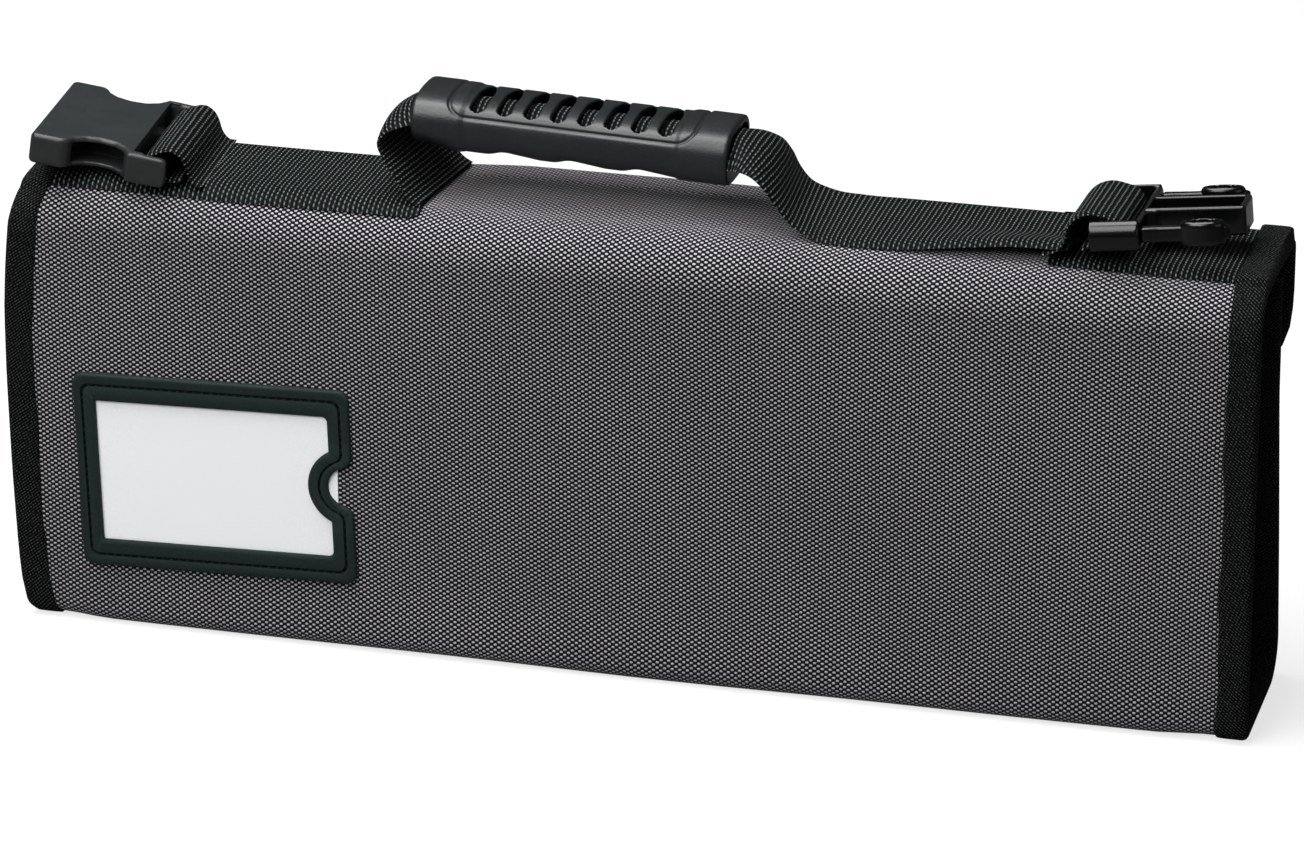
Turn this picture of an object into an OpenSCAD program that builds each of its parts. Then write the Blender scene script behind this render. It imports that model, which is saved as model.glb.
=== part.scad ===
// Semi-rigid folding case for chef knives, closed and standing on its bottom.
// X runs along the case, the front panel faces -Y, and Z is up from the floor.

/* [Case] */
// Overall length over the edge tape
case_l = 442; // [402:5:502]
// Height of the spine fabric above the floor
case_h = 163; // [150:1:180]
// Depth from the front fabric to the flap fabric
case_d = 64; // [58:1:80]
// Radius of the large roll over the top front edge
front_roll_r = 17; // [12:0.5:20]
// Radius of the roll over the top rear edge
rear_roll_r = 6; // [5.5:0.5:8]
// Radius of the roll under the front panel
bottom_front_r = 6; // [5.5:0.5:9]
// Radius of the roll up to the back panel
bottom_rear_r = 14; // [10:1:18]
// Lean of the back panel towards the front, in degrees
back_lean = 1.8; // [0.5:0.1:3]
// Distance from the rear crease down to the top of the back panel
back_drop = 6; // [5:0.5:8]
// Length of the closure flap below the rear crease
flap_len = 36; // [34:1:40]

/* [Layers] */
// Thickness of the cover fabric
cover_t = 1; // [0.8:0.1:1.4]
// Thickness of the stiff boards
board_t = 2.2; // [1.6:0.1:2.4]
// Thickness of the lining
lining_t = 0.8; // [0.6:0.1:1]
// Thickness of the thin board in the flap
flap_board_t = 0.8; // [0.6:0.1:1.2]
// Gap left at each fabric crease
crease_gap = 0.3; // [0.2:0.1:0.5]
// Distance from a board's edge to the fold or end next to it
board_margin = 3; // [2:0.5:6]
// Distance the spine stops short of the case's left end
spine_inset = 3; // [0:0.5:6]

/* [Edge tape] */
// Width of the edge tape on each face
tape_w = 11; // [8:0.5:14]
// Thickness of the edge tape
tape_t = 0.9; // [0.6:0.1:0.9]

/* [Closure tapes] */
// Width of the hook tape and the loop tape
closure_w = 12; // [8:1:14]
// Thickness of the hook tape and of the loop tape
closure_t = 1; // [0.8:0.1:1.4]
// Gap between the hook tape and the loop tape at mid height
closure_gap = 0.8; // [0.6:0.1:1.2]
// Distance from the closure tapes' ends to the ends of the case
closure_inset = 30; // [20:5:80]

/* [Webbing] */
// Width of the webbing
web_w = 50; // [44:1:52]
// Thickness of the webbing
web_t = 1.9; // [1.4:0.1:2.4]
// Shift of the webbing behind the middle of the spine
web_shift = 2.5; // [0:0.5:3]
// Skew of the webbing, forwards at the left and backwards at the right
web_skew = 2.5; // [0:0.5:3]
// Distance along the case from the strap's left fold to its foot
left_run = 9; // [7:1:14]
// Free length of the strap between the grip and its drop at the right
right_run = 5; // [4:1:12]

/* [Handle] */
// Length of the grip
grip_l = 112; // [108:1:120]
// Position of the grip's middle along the case
grip_x = -22; // [-24:1:-16]
// Height of the grip's middle above the webbing
grip_lift = 24.5; // [21:0.5:28]
// Downward tilt of the grip towards the right, in degrees
grip_tilt = 2.2; // [0:0.1:4]
// Corner radius of the grip, half of its height
grip_r = 8.4; // [8:0.1:9.5]
// Extra depth of the grip below its strap channel
grip_belly = 2.8; // [0:0.2:3.4]
// Flat width between the grip's two round sides
grip_flat = 15; // [12:0.5:16]
// Extra radius of the collars at the grip's ends
collar_proud = 0.6; // [0.4:0.1:1.2]
// Length of each collar
collar_l = 18; // [14:1:22]
// Wall of the grip round its strap channel
grip_wall = 2.4; // [2:0.1:2.8]
// Number of slots through the top of the grip
slot_count = 8; // [4:1:8]
// Distance between slots
slot_pitch = 9.5; // [8:0.1:10]
// Width of a slot
slot_w = 5; // [3:0.1:5.6]
// Length of a slot round the grip
slot_l = 25; // [22:0.5:27]
// Number of finger waves on the underside
wave_count = 3; // [2:1:4]
// Distance between finger waves
wave_pitch = 23; // [18:0.5:24]
// Radius of a finger wave
wave_r = 30; // [18:1:32]
// Depth of a finger wave
wave_depth = 1.3; // [0.8:0.1:1.6]
// Shift of the finger waves from the middle of the grip
wave_shift = -3; // [-4:0.5:2]

/* [Buckles] */
// Overall width of each buckle half
buckle_w = 57; // [57:1:60]
// Thickness of each buckle half
buckle_t = 11; // [10:0.5:12]
// Radius of the strap bar
bar_r = 2.4; // [2:0.1:2.6]
// Clearance between the strap bar and its webbing loop
bar_clear = 0.4; // [0.3:0.1:0.6]
// Clearance below and beside the buckles
buckle_clear = 0.5; // [0.4:0.1:1]
// Distance from the case's left end to the female buckle's bar
female_inset = 53.5; // [51:0.5:57]
// Length of the female buckle from its bar to its mouth
female_l = 44; // [40:1:44]
// Upward tilt of the female buckle, in degrees
female_tilt = 5; // [0:0.5:7]
// Turn of the female buckle and its loop on the spine, in degrees
female_yaw = 4.5; // [0:0.5:5]
// Wall of the female buckle's top and bottom
female_wall = 1.9; // [1.6:0.1:2.2]
// Distance from the case's right end to the male buckle's bar
male_inset = 55; // [52:0.5:58]
// Length of the male buckle's guide from its bar
male_l = 43.5; // [40:0.5:44]
// Upward tilt of the male buckle, in degrees
male_tilt = 6; // [0:0.5:8]
// Roll of the male buckle, which rests on its rear side, in degrees
male_roll = 5; // [0:0.5:8]
// Turn of the male buckle and its loop on the spine, in degrees
male_yaw = 2; // [0:0.5:4]
// Length of a prong from its root to its tip
prong_l = 31; // [30:1:33]
// Gap between a prong's root and its frame
prong_gap = 0.4; // [0.3:0.1:0.6]

/* [Card holder] */
// Width of the card frame
frame_w = 101; // [98:1:115]
// Height of the card frame
frame_h = 71; // [68:1:85]
// Corner radius of the card frame
frame_r = 4; // [2:0.5:8]
// Thickness of the card frame in front of the fabric
frame_t = 2.2; // [2:0.1:3]
// Width of the clear window
window_w = 85; // [80:0.5:87]
// Height of the clear window
window_h = 53; // [48:0.5:54]
// Thickness of the clear window
window_t = 0.4; // [0.3:0.1:0.6]
// Distance from the case's left end to the card frame
frame_inset = 25; // [20:1:60]
// Height of the card frame's lower edge above the floor
frame_z = 25; // [16:1:40]
// Width of the card
card_w = 90; // [88:0.5:91]
// Height of the card
card_h = 55; // [54.5:0.1:57]
// Thickness of the card
card_t = 0.4; // [0.3:0.1:0.5]
// Play of the card in its pocket, on each side
card_play = 0.3; // [0.2:0.05:0.35]
// Radius of the thumb notch
notch_r = 7; // [5:0.5:8]
// Width of the rim round the thumb notch
notch_rim = 5.5; // [4:0.5:7]

/* [Knife pockets] */
// Number of wide sleeves on the front panel
front_sleeve_count = 2; // [1:1:3]
// Number of narrow sleeves on the back panel
back_sleeve_count = 3; // [2:1:3]
// Length of the sleeves
sleeve_l = 255; // [200:5:280]
// Room for a blade between a sleeve and its panel
sleeve_gap = 6; // [5:0.5:7]
// Thickness of the sleeve fabric and of the elastic
sleeve_t = 1.2; // [0.8:0.1:1.6]
// Width of the seams between sleeves
seam_w = 3; // [2:0.5:5]
// Distance from the sleeves to the case's end
sleeve_inset = 18; // [14:1:30]
// Room for a knife handle in an elastic loop
loop_gap = 13; // [10:0.5:16]
// Width of the elastic
elastic_w = 38; // [25:1:50]
// Distance from the elastic to the case's end
elastic_inset = 70; // [50:1:90]
// Height of the sleeves above the inside of the bottom
pocket_lift = 12; // [10:1:16]

/* [Hidden] */

$fn = 64;
// Overshoot of a cut through a face
cut = 1;

panel_t = cover_t + board_t + lining_t;
flap_t = cover_t + flap_board_t + lining_t;
end_x = case_l / 2;
cover_x = end_x - tape_t;
floor_z = tape_t;

// The front face, the flap face and the card frame together are centred on the origin in Y
front_y = frame_t - (case_d + frame_t + tape_t) / 2;
flap_y = front_y + case_d;
web_y = (front_y + flap_y) / 2 + web_shift;

crease_z = case_h - front_roll_r;
flap_crease_z = case_h - rear_roll_r;
back_z = floor_z + bottom_rear_r;
back_top_z = flap_crease_z - back_drop;
flap_z = flap_crease_z - flap_len;
closure_z = flap_z + tape_w + closure_w / 2;
back_y = flap_y - flap_t - 2 * closure_t - closure_gap + (closure_z - back_z) * tan(back_lean);
back_h = (back_top_z - back_z) / cos(back_lean);

female_x = -end_x + female_inset;
male_x = end_x - male_inset;
web_z = case_h + web_t;
loop_r = bar_r + bar_clear + web_t;
left_web_y = web_y - web_skew;
right_web_y = web_y + web_skew;
female_z = web_z + buckle_clear + buckle_t / 2 + loop_r * sin(female_tilt);
male_z = web_z + buckle_clear + buckle_t / 2 + buckle_w / 2 * sin(male_roll);
arm_w = (buckle_w - web_w) / 2 - buckle_clear;
slot_x = loop_r + buckle_clear;

grip_z = web_z + grip_lift;
strap_r = grip_r - grip_wall;
strap_mid_r = strap_r - web_t / 2;

frame_x = -end_x + frame_inset + frame_w / 2;
frame_mid_z = frame_z + frame_h / 2;
card_room = card_t + 2 * card_play;

// Flat shapes below lie in the YZ plane and are drawn out along X
module along_x(x0, x1) {
    translate([x0, 0, 0]) rotate([90, 0, 90]) linear_extrude(x1 - x0) children();
}

// Flat shapes drawn in the XZ plane and drawn out along Y, from y0 to y1
module along_y(y0, y1) {
    translate([0, y1, 0]) rotate([90, 0, 0]) linear_extrude(y1 - y0) children();
}

module bar(y0, y1, z0, z1) {
    translate([y0, z0]) square([y1 - y0, z1 - z0]);
}

// Quarter of a ring on the side given by the signs side_y and side_z
module bend(y, z, outer, inner, side_y, side_z) {
    intersection() {
        translate([y, z]) difference() {
            circle(outer);
            circle(inner);
        }
        translate([side_y < 0 ? y - outer - cut : y, side_z < 0 ? z - outer - cut : z])
            square(outer + cut);
    }
}

// Band of the front panel, the bottom and the roll up to the back, between two depths
module tray_section(a, b) {
    bar(front_y + a, front_y + b, floor_z + bottom_front_r, crease_z - crease_gap);
    bend(front_y + bottom_front_r, floor_z + bottom_front_r,
        bottom_front_r - a, bottom_front_r - b, -1, -1);
    bar(front_y + bottom_front_r, back_y - bottom_rear_r, floor_z + a, floor_z + b);
    bend(back_y - bottom_rear_r, back_z, bottom_rear_r - a, bottom_rear_r - b, 1, -1);
}

// Band of the front roll, the spine and the rear roll, between two depths
module spine_section(a, b) {
    bend(front_y + front_roll_r, crease_z, front_roll_r - a, front_roll_r - b, -1, 1);
    bar(front_y + front_roll_r, flap_y - rear_roll_r, case_h - b, case_h - a);
    bend(flap_y - rear_roll_r, flap_crease_z, rear_roll_r - a, rear_roll_r - b, 1, 1);
}

module section(part, a, b) {
    if (part == "tray") tray_section(a, b);
    if (part == "spine") spine_section(a, b);
}

// Tape folded over the end of a band, on both faces and round the edge
module end_tape(part, side, end) {
    edge = end - tape_t;
    inner = end - tape_w - cut;
    difference() {
        along_x(min(side * end, side * (end - tape_w)), max(side * end, side * (end - tape_w)))
            section(part, -tape_t, panel_t + tape_t);
        along_x(min(side * edge, side * inner), max(side * edge, side * inner))
            section(part, 0, panel_t);
    }
}

// Rectangular slab with tape round its two ends and one long edge
module slab_tape(t, z0, z1, taped_top) {
    inner_z0 = taped_top ? z0 - cut : z0 + tape_t;
    inner_z1 = taped_top ? z1 - tape_t : z1 + cut;
    hole_z0 = taped_top ? z0 - cut : z0 + tape_w;
    hole_z1 = taped_top ? z1 - tape_w : z1 + cut;
    difference() {
        translate([-end_x, -t - tape_t, z0]) cube([case_l, t + 2 * tape_t, z1 - z0]);
        translate([-cover_x, -t, inner_z0]) cube([2 * cover_x, t, inner_z1 - inner_z0]);
        translate([-end_x + tape_w, -t - tape_t - cut, hole_z0])
            cube([case_l - 2 * tape_w, t + 2 * (tape_t + cut), hole_z1 - hole_z0]);
    }
}

module slab(x, y0, y1, z0, z1) {
    translate([-x, y0, z0]) cube([2 * x, y1 - y0, z1 - z0]);
}

// Frame of the back panel: its outer face is y = 0 and its lower crease is z = 0
module on_back() {
    translate([0, back_y, back_z]) rotate([back_lean, 0, 0]) children();
}

module at_flap() {
    translate([0, flap_y, 0]) children();
}

// Sleeves standing off a panel towards -Y, closed at the left end and open at the right
module sleeves(count, height) {
    room = (height - (count + 1) * seam_w) / count;
    translate([0, -sleeve_gap - sleeve_t, 0]) cube([sleeve_l, sleeve_t, height]);
    translate([0, -sleeve_gap, 0]) cube([seam_w, sleeve_gap, height]);
    for (i = [0 : count])
        translate([0, -sleeve_gap, i * (room + seam_w)]) cube([sleeve_l, sleeve_gap, seam_w]);
}

// Elastic loops for the handles, one in line with each sleeve
module elastic(count, height) {
    room = (height - (count + 1) * seam_w) / count;
    difference() {
        translate([0, -loop_gap - sleeve_t, 0]) cube([elastic_w, loop_gap + sleeve_t, height]);
        for (i = [0 : count - 1])
            translate([-cut, -loop_gap, seam_w + i * (room + seam_w)])
                cube([elastic_w + 2 * cut, loop_gap + cut, room]);
    }
}

front_pocket_z = floor_z + panel_t + pocket_lift;
front_pocket_h = crease_z - board_margin - front_pocket_z;
back_pocket_z = panel_t + pocket_lift;
back_pocket_h = back_h - tape_w - board_margin - back_pocket_z;

module front_cover() {
    color("dimgray") along_x(-cover_x, cover_x) tray_section(0, cover_t);
}

module front_lining() {
    color("black") along_x(-cover_x, cover_x) tray_section(cover_t + board_t, panel_t);
}

module front_board() {
    color("darkslategray") slab(cover_x - board_margin, front_y + cover_t, front_y + cover_t + board_t,
        floor_z + bottom_front_r, crease_z - board_margin);
}

module bottom_board() {
    color("darkslategray") slab(cover_x - board_margin, front_y + bottom_front_r, back_y - bottom_rear_r,
        floor_z + cover_t, floor_z + cover_t + board_t);
}

module front_tape_left() {
    color("black") end_tape("tray", -1, end_x);
}

module front_tape_right() {
    color("black") end_tape("tray", 1, end_x);
}

module front_sleeves() {
    color("dimgray")
        translate([-end_x + sleeve_inset, front_y + panel_t, front_pocket_z])
            mirror([0, 1, 0]) sleeves(front_sleeve_count, front_pocket_h);
}

module front_loops() {
    color("black")
        translate([end_x - elastic_inset - elastic_w, front_y + panel_t, front_pocket_z])
            mirror([0, 1, 0]) elastic(front_sleeve_count, front_pocket_h);
}

module rounded_rect(w, h, r) {
    square([w - 2 * r, h], center = true);
    square([w, h - 2 * r], center = true);
    for (x = [-1, 1], z = [-1, 1])
        translate([x * (w / 2 - r), z * (h / 2 - r)]) circle(r);
}

module window_outline() {
    difference() {
        square([window_w, window_h], center = true);
        translate([frame_w / 2, 0]) circle(notch_r + notch_rim);
    }
}

// Rim with its window opening and thumb notch, over a shallow channel for the card
module card_frame() {
    color("black") difference() {
        translate([frame_x, 0, frame_mid_z]) along_y(front_y - frame_t, front_y) difference() {
            rounded_rect(frame_w, frame_h, frame_r);
            window_outline();
            translate([frame_w / 2, 0]) circle(notch_r);
        }
        translate([frame_x - card_w / 2 - card_play, front_y - card_room,
            frame_mid_z - card_h / 2 - card_play])
            cube([frame_w, card_room + cut, card_h + 2 * card_play]);
    }
}

module card_window() {
    color("lightgray", 0.4) translate([frame_x, 0, frame_mid_z])
        along_y(front_y - card_room - window_t, front_y - card_room) window_outline();
}

module id_card() {
    color("white") translate([frame_x - card_w / 2, front_y - card_play - card_t, frame_mid_z - card_h / 2])
        cube([card_w, card_t, card_h]);
}

module back_cover() {
    color("dimgray") on_back() slab(cover_x, -cover_t, 0, crease_gap, back_h - tape_t);
}

module back_board() {
    color("darkslategray") on_back()
        slab(cover_x - board_margin, -cover_t - board_t, -cover_t, board_margin, back_h - board_margin);
}

module back_lining() {
    color("black") on_back() slab(cover_x, -panel_t, -cover_t - board_t, crease_gap, back_h - tape_t);
}

module back_tape() {
    color("black") on_back() slab_tape(panel_t, crease_gap, back_h, true);
}

module loop_tape() {
    color("black") on_back() slab(end_x - closure_inset, 0, closure_t,
        back_h - tape_w - closure_w, back_h - tape_w);
}

module back_sleeves() {
    color("dimgray") on_back() translate([end_x - sleeve_inset, -panel_t, back_pocket_z])
        mirror([1, 0, 0]) sleeves(back_sleeve_count, back_pocket_h);
}

module back_loops() {
    color("black") on_back() translate([-end_x + elastic_inset, -panel_t, back_pocket_z])
        elastic(back_sleeve_count, back_pocket_h);
}

module spine_cover() {
    color("dimgray") along_x(-cover_x + spine_inset, cover_x) spine_section(0, cover_t);
}

module spine_board() {
    color("darkslategray") along_x(-cover_x + spine_inset + board_margin, cover_x - board_margin)
        bar(front_y + front_roll_r, flap_y - rear_roll_r, case_h - cover_t - board_t, case_h - cover_t);
}

module spine_lining() {
    color("black") along_x(-cover_x + spine_inset, cover_x)
        spine_section(cover_t + board_t, panel_t);
}

module spine_tape_left() {
    color("black") end_tape("spine", -1, end_x - spine_inset);
}

module spine_tape_right() {
    color("black") end_tape("spine", 1, end_x);
}

// Webbing lying on the spine and following its rolls
module flat_webbing(x0, x1, y) {
    color("black") along_x(x0, x1) intersection() {
        spine_section(-web_t, 0);
        bar(y - web_w / 2, y + web_w / 2, crease_z, case_h + 2 * web_t);
    }
}

loop_arch_r = 7.2;
loop_arch_x = 3.5;
loop_arch_z = -0.5;
loop_end_x = loop_arch_x + loop_arch_r;

module webbing_left() {
    flat_webbing(female_x + loop_end_x, left_foot_x, left_web_y);
}

module webbing_right() {
    flat_webbing(right_foot_x, male_x - loop_end_x, right_web_y);
}

module end_webbing_left() {
    flat_webbing(-end_x + spine_inset + tape_w, female_x + loop_end_x, left_web_y);
}

module end_webbing_right() {
    flat_webbing(male_x - loop_end_x, end_x - tape_w, right_web_y);
}

// Outline of the loop round a bar at the origin, grown inwards by t, with its arch towards +X
module loop_outline(t, bottom) {
    circle(loop_r - t);
    intersection() {
        translate([loop_arch_x, loop_arch_z]) circle(loop_arch_r - t);
        translate([-web_w, -loop_r + t]) square(2 * web_w);
    }
    translate([0, -loop_r + t]) square([loop_end_x - t, loop_arch_z + loop_r - t]);
    translate([loop_end_x - loop_r, -bottom]) square([loop_r - t, bottom]);
}

module buckle_loop(height) {
    along_y(-web_w / 2, web_w / 2) difference() {
        loop_outline(0, height);
        difference() {
            loop_outline(web_t, height);
            translate([loop_end_x - loop_r - cut, -height - cut])
                square([loop_r + cut, height + cut - loop_r + web_t]);
        }
    }
}

module buckle_loop_left() {
    color("black") translate([female_x, left_web_y, female_z]) rotate([0, 0, female_yaw])
        buckle_loop(female_z - web_z);
}

module buckle_loop_right() {
    color("black") difference() {
        translate([male_x, right_web_y, male_z]) rotate([-male_roll, 0, male_yaw]) mirror([1, 0, 0])
            buckle_loop(male_z - web_z + buckle_t);
        translate([male_x - web_w, right_web_y - web_w, web_z - 2 * buckle_w])
            cube([2 * web_w, 2 * web_w, 2 * buckle_w]);
    }
}

// Handle strap: half ring at the left, a quarter ring at the right, both in the XZ plane
strap_fold_r = 7;
strap_half_w = 20;
fold_out = 3;
left_end_x = grip_x - grip_l / 2 * cos(grip_tilt);
right_end_x = grip_x + grip_l / 2 * cos(grip_tilt);
left_end_z = grip_z + grip_l / 2 * sin(grip_tilt);
right_end_z = grip_z - grip_l / 2 * sin(grip_tilt);
fold_x = left_end_x - fold_out;
fold_z = left_end_z - strap_fold_r;
left_foot_x = fold_x + left_run;
drop_r = (right_end_z - web_z - web_t / 2) / 2;
drop_x = right_end_x + right_run;
drop_z = right_end_z - drop_r;
right_foot_x = drop_x + 2 * drop_r;

module band_bend(x, z, r, side_x, side_z) {
    bend(x, z, r + web_t / 2, r - web_t / 2, side_x, side_z);
}

module handle_foot_left() {
    rise = fold_z - strap_fold_r - web_z - web_t / 2;
    color("black") along_y(web_y - strap_half_w, web_y + strap_half_w) {
        band_bend(fold_x, fold_z, strap_fold_r, -1, -1);
        polygon([
            [fold_x - web_t / 2, fold_z - strap_fold_r + web_t / 4],
            [fold_x - web_t / 2, fold_z - strap_fold_r - web_t / 4],
            [left_foot_x - web_t * left_run / rise / 2, web_z],
            [left_foot_x, web_z],
            [left_foot_x, web_z + web_t]
        ]);
    }
}

module handle_foot_right() {
    color("black") along_y(web_y - strap_half_w, web_y + strap_half_w)
        band_bend(right_foot_x, web_z + web_t / 2 + drop_r, drop_r, -1, -1);
}

// The webbing is folded lengthwise round the flat core of the grip
module folded_section() {
    difference() {
        stadium(strap_r - bar_clear);
        stadium(strap_r - bar_clear - web_t);
        translate([-grip_flat / 2, -strap_r]) square([grip_flat, strap_r]);
    }
}

module handle_strap() {
    color("black") {
        on_grip() along_x(-grip_l / 2, grip_l / 2) folded_section();
        along_y(web_y - strap_half_w + web_t, web_y + strap_half_w - web_t) {
            band_bend(fold_x, fold_z, strap_fold_r, -1, 1);
            bar(fold_x, left_end_x, left_end_z - web_t / 2, left_end_z + web_t / 2);
            bar(right_end_x, drop_x, right_end_z - web_t / 2, right_end_z + web_t / 2);
            band_bend(drop_x, drop_z, drop_r, 1, 1);
        }
    }
}

// Frame of the grip: X along it, with the strap channel on its axis
module on_grip() {
    translate([grip_x, web_y, grip_z]) rotate([0, grip_tilt, 0]) children();
}

module stadium(r) {
    square([grip_flat, 2 * r], center = true);
    for (y = [-1, 1])
        translate([y * grip_flat / 2, 0]) circle(r);
}

// Section of the grip: the flat core's outline, drawn down into a belly
module grip_section(r) {
    stadium(r);
    translate([0, -grip_belly]) stadium(r);
    translate([-grip_flat / 2 - r, -grip_belly]) square([grip_flat + 2 * r, grip_belly]);
}

module slot_outline() {
    square([slot_w, slot_l - slot_w], center = true);
    for (y = [-1, 1])
        translate([0, y * (slot_l - slot_w) / 2]) circle(slot_w / 2);
}

module grip() {
    color("black") on_grip() difference() {
        union() {
            along_x(-grip_l / 2, grip_l / 2) grip_section(grip_r);
            for (side = [-1, 1])
                along_x(side < 0 ? -grip_l / 2 : grip_l / 2 - collar_l,
                    side < 0 ? -grip_l / 2 + collar_l : grip_l / 2) grip_section(grip_r + collar_proud);
        }
        along_x(-grip_l / 2 - cut, grip_l / 2 + cut) stadium(strap_r);
        for (i = [0 : slot_count - 1])
            translate([(i - (slot_count - 1) / 2) * slot_pitch, 0, 0])
                linear_extrude(grip_r + 2 * cut) slot_outline();
        for (i = [0 : wave_count - 1])
            translate([wave_shift + (i - (wave_count - 1) / 2) * wave_pitch, 0,
                -grip_r - grip_belly - wave_r + wave_depth])
                rotate([90, 0, 0]) cylinder(r = wave_r, h = buckle_w, center = true);
    }
}

// Frame of a buckle half: bar on the Y axis, body towards +X
module on_female() {
    translate([female_x, left_web_y, female_z]) rotate([0, female_tilt, female_yaw])
        mirror([1, 0, 0]) children();
}

module on_male() {
    translate([male_x, right_web_y, male_z]) rotate([-male_roll, 0, male_yaw])
        rotate([0, -male_tilt, 0]) children();
}

module strap_bar() {
    rotate([90, 0, 0]) cylinder(r = bar_r, h = buckle_w - arm_w, center = true);
}

// Side arms that carry the bar, with round ends
module bar_arms(t, reach) {
    for (side = [-1, 1])
        translate([0, side * (buckle_w - arm_w) / 2, 0]) along_y(-arm_w / 2, arm_w / 2) {
            circle(t / 2);
            translate([0, -t / 2]) square([reach, t]);
        }
}

waist_r = 12;
waist_x = female_l / 2 - 1;
waist_depth = 6.5;
body_x = slot_x + 4;
arm_reach = body_x + 2;
mouth_wall = 3;

// Female half: flat box with a cavity open at its mouth and at both waisted sides
module female_buckle() {
    color("darkslategray") on_female() {
        strap_bar();
        bar_arms(buckle_t, arm_reach);
        difference() {
            translate([body_x, -buckle_w / 2, -buckle_t / 2])
                cube([female_l - body_x, buckle_w, buckle_t]);
            for (side = [-1, 1])
                translate([waist_x, side * (buckle_w / 2 + waist_r - waist_depth), 0])
                    cylinder(r = waist_r, h = buckle_t + 2 * cut, center = true);
            translate([body_x + mouth_wall, -buckle_w / 2 + mouth_wall, -buckle_t / 2 + female_wall])
                cube([female_l, buckle_w - 2 * mouth_wall, buckle_t - 2 * female_wall]);
        }
    }
}

guide_w = 18;
guide_wall = 1.8;
guide_t = 10.2;
plug_x = slot_x + 3.2;
crossbar_w = 3;
prong_inset = 4;
prong_y = buckle_w / 2 - prong_inset;
prong_x = plug_x + crossbar_w;
prong_t = 5;
prong_w = 3.6;
lobe_x = 17.5;
lobe_l = 16.5;
lobe_r = 3.4;

// Male half: bar, arms and crossbar, with a ribbed guide between the prongs
module male_buckle() {
    color("black") on_male() {
        strap_bar();
        bar_arms(buckle_t, plug_x);
        translate([plug_x, -buckle_w / 2, -guide_t / 2]) cube([crossbar_w, buckle_w, guide_t]);
        difference() {
            translate([prong_x, -guide_w / 2, -guide_t / 2]) cube([male_l - prong_x, guide_w, guide_t]);
            translate([prong_x, -guide_w / 2 + guide_wall, -guide_t / 2 + guide_wall])
                cube([male_l - prong_x - guide_wall, guide_w - 2 * guide_wall, guide_t]);
        }
    }
}

// Springy side prong with its long rounded lobe, on the side given by the sign
module prong(side) {
    color("black") on_male() translate([prong_x + prong_gap, side * prong_y, 0]) {
        linear_extrude(prong_t, center = true) {
            translate([0, -prong_w / 2]) square([lobe_x, prong_w]);
            translate([prong_l, 0]) circle(prong_w / 2);
            translate([lobe_x, -prong_w / 2]) square([prong_l - lobe_x, prong_w]);
        }
        linear_extrude(prong_t + 2, center = true) {
            translate([lobe_x - lobe_r, -lobe_r]) square([lobe_l - 2 * lobe_r, 2 * lobe_r]);
            for (x = [lobe_x - lobe_r, lobe_x - lobe_r + lobe_l - 2 * lobe_r])
                translate([x, 0]) circle(lobe_r);
        }
    }
}

module prong_front() {
    prong(-1);
}

module prong_rear() {
    prong(1);
}

module flap_cover() {
    color("dimgray") at_flap()
        slab(cover_x, -cover_t, 0, flap_z + tape_t, flap_crease_z - crease_gap);
}

module flap_board() {
    color("darkslategray") at_flap() slab(cover_x - board_margin, -cover_t - flap_board_t, -cover_t,
        flap_z + board_margin, flap_crease_z - board_margin);
}

module flap_lining() {
    color("black") at_flap()
        slab(cover_x, -flap_t, -cover_t - flap_board_t, flap_z + tape_t, flap_crease_z - crease_gap);
}

module flap_tape() {
    color("black") at_flap() slab_tape(flap_t, flap_z, flap_crease_z - crease_gap, false);
}

module hook_tape() {
    color("black") at_flap() slab(end_x - closure_inset, -flap_t - closure_t, -flap_t,
        closure_z - closure_w / 2, closure_z + closure_w / 2);
}

front_cover();
front_lining();
front_board();
bottom_board();
front_tape_left();
front_tape_right();
front_sleeves();
front_loops();
card_frame();
card_window();
id_card();
back_cover();
back_lining();
back_board();
back_tape();
loop_tape();
back_sleeves();
back_loops();
spine_cover();
spine_lining();
spine_board();
spine_tape_left();
spine_tape_right();
webbing_left();
webbing_right();
end_webbing_left();
end_webbing_right();
buckle_loop_left();
buckle_loop_right();
handle_foot_left();
handle_foot_right();
flap_cover();
flap_lining();
flap_board();
flap_tape();
hook_tape();
grip();
handle_strap();
female_buckle();
male_buckle();
prong_front();
prong_rear();
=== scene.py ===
"""Dressed model of a semi-rigid knife case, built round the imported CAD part."""
import math
import bmesh
import bpy
import numpy as np
from mathutils import Matrix, Vector


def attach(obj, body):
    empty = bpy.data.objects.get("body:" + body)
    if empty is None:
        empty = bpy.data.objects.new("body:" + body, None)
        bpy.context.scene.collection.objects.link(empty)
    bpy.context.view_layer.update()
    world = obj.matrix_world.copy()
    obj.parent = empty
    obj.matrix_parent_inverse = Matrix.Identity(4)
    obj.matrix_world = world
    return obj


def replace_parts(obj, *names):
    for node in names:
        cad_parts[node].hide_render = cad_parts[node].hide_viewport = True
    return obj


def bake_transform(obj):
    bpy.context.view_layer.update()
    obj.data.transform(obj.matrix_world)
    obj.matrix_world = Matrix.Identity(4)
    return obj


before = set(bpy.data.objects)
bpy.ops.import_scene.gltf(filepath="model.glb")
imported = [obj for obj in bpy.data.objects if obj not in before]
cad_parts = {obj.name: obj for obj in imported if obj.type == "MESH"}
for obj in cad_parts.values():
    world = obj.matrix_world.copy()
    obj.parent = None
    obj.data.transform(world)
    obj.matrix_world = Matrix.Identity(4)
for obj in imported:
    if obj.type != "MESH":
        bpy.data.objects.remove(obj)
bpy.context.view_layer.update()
MM = 0.001

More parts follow.
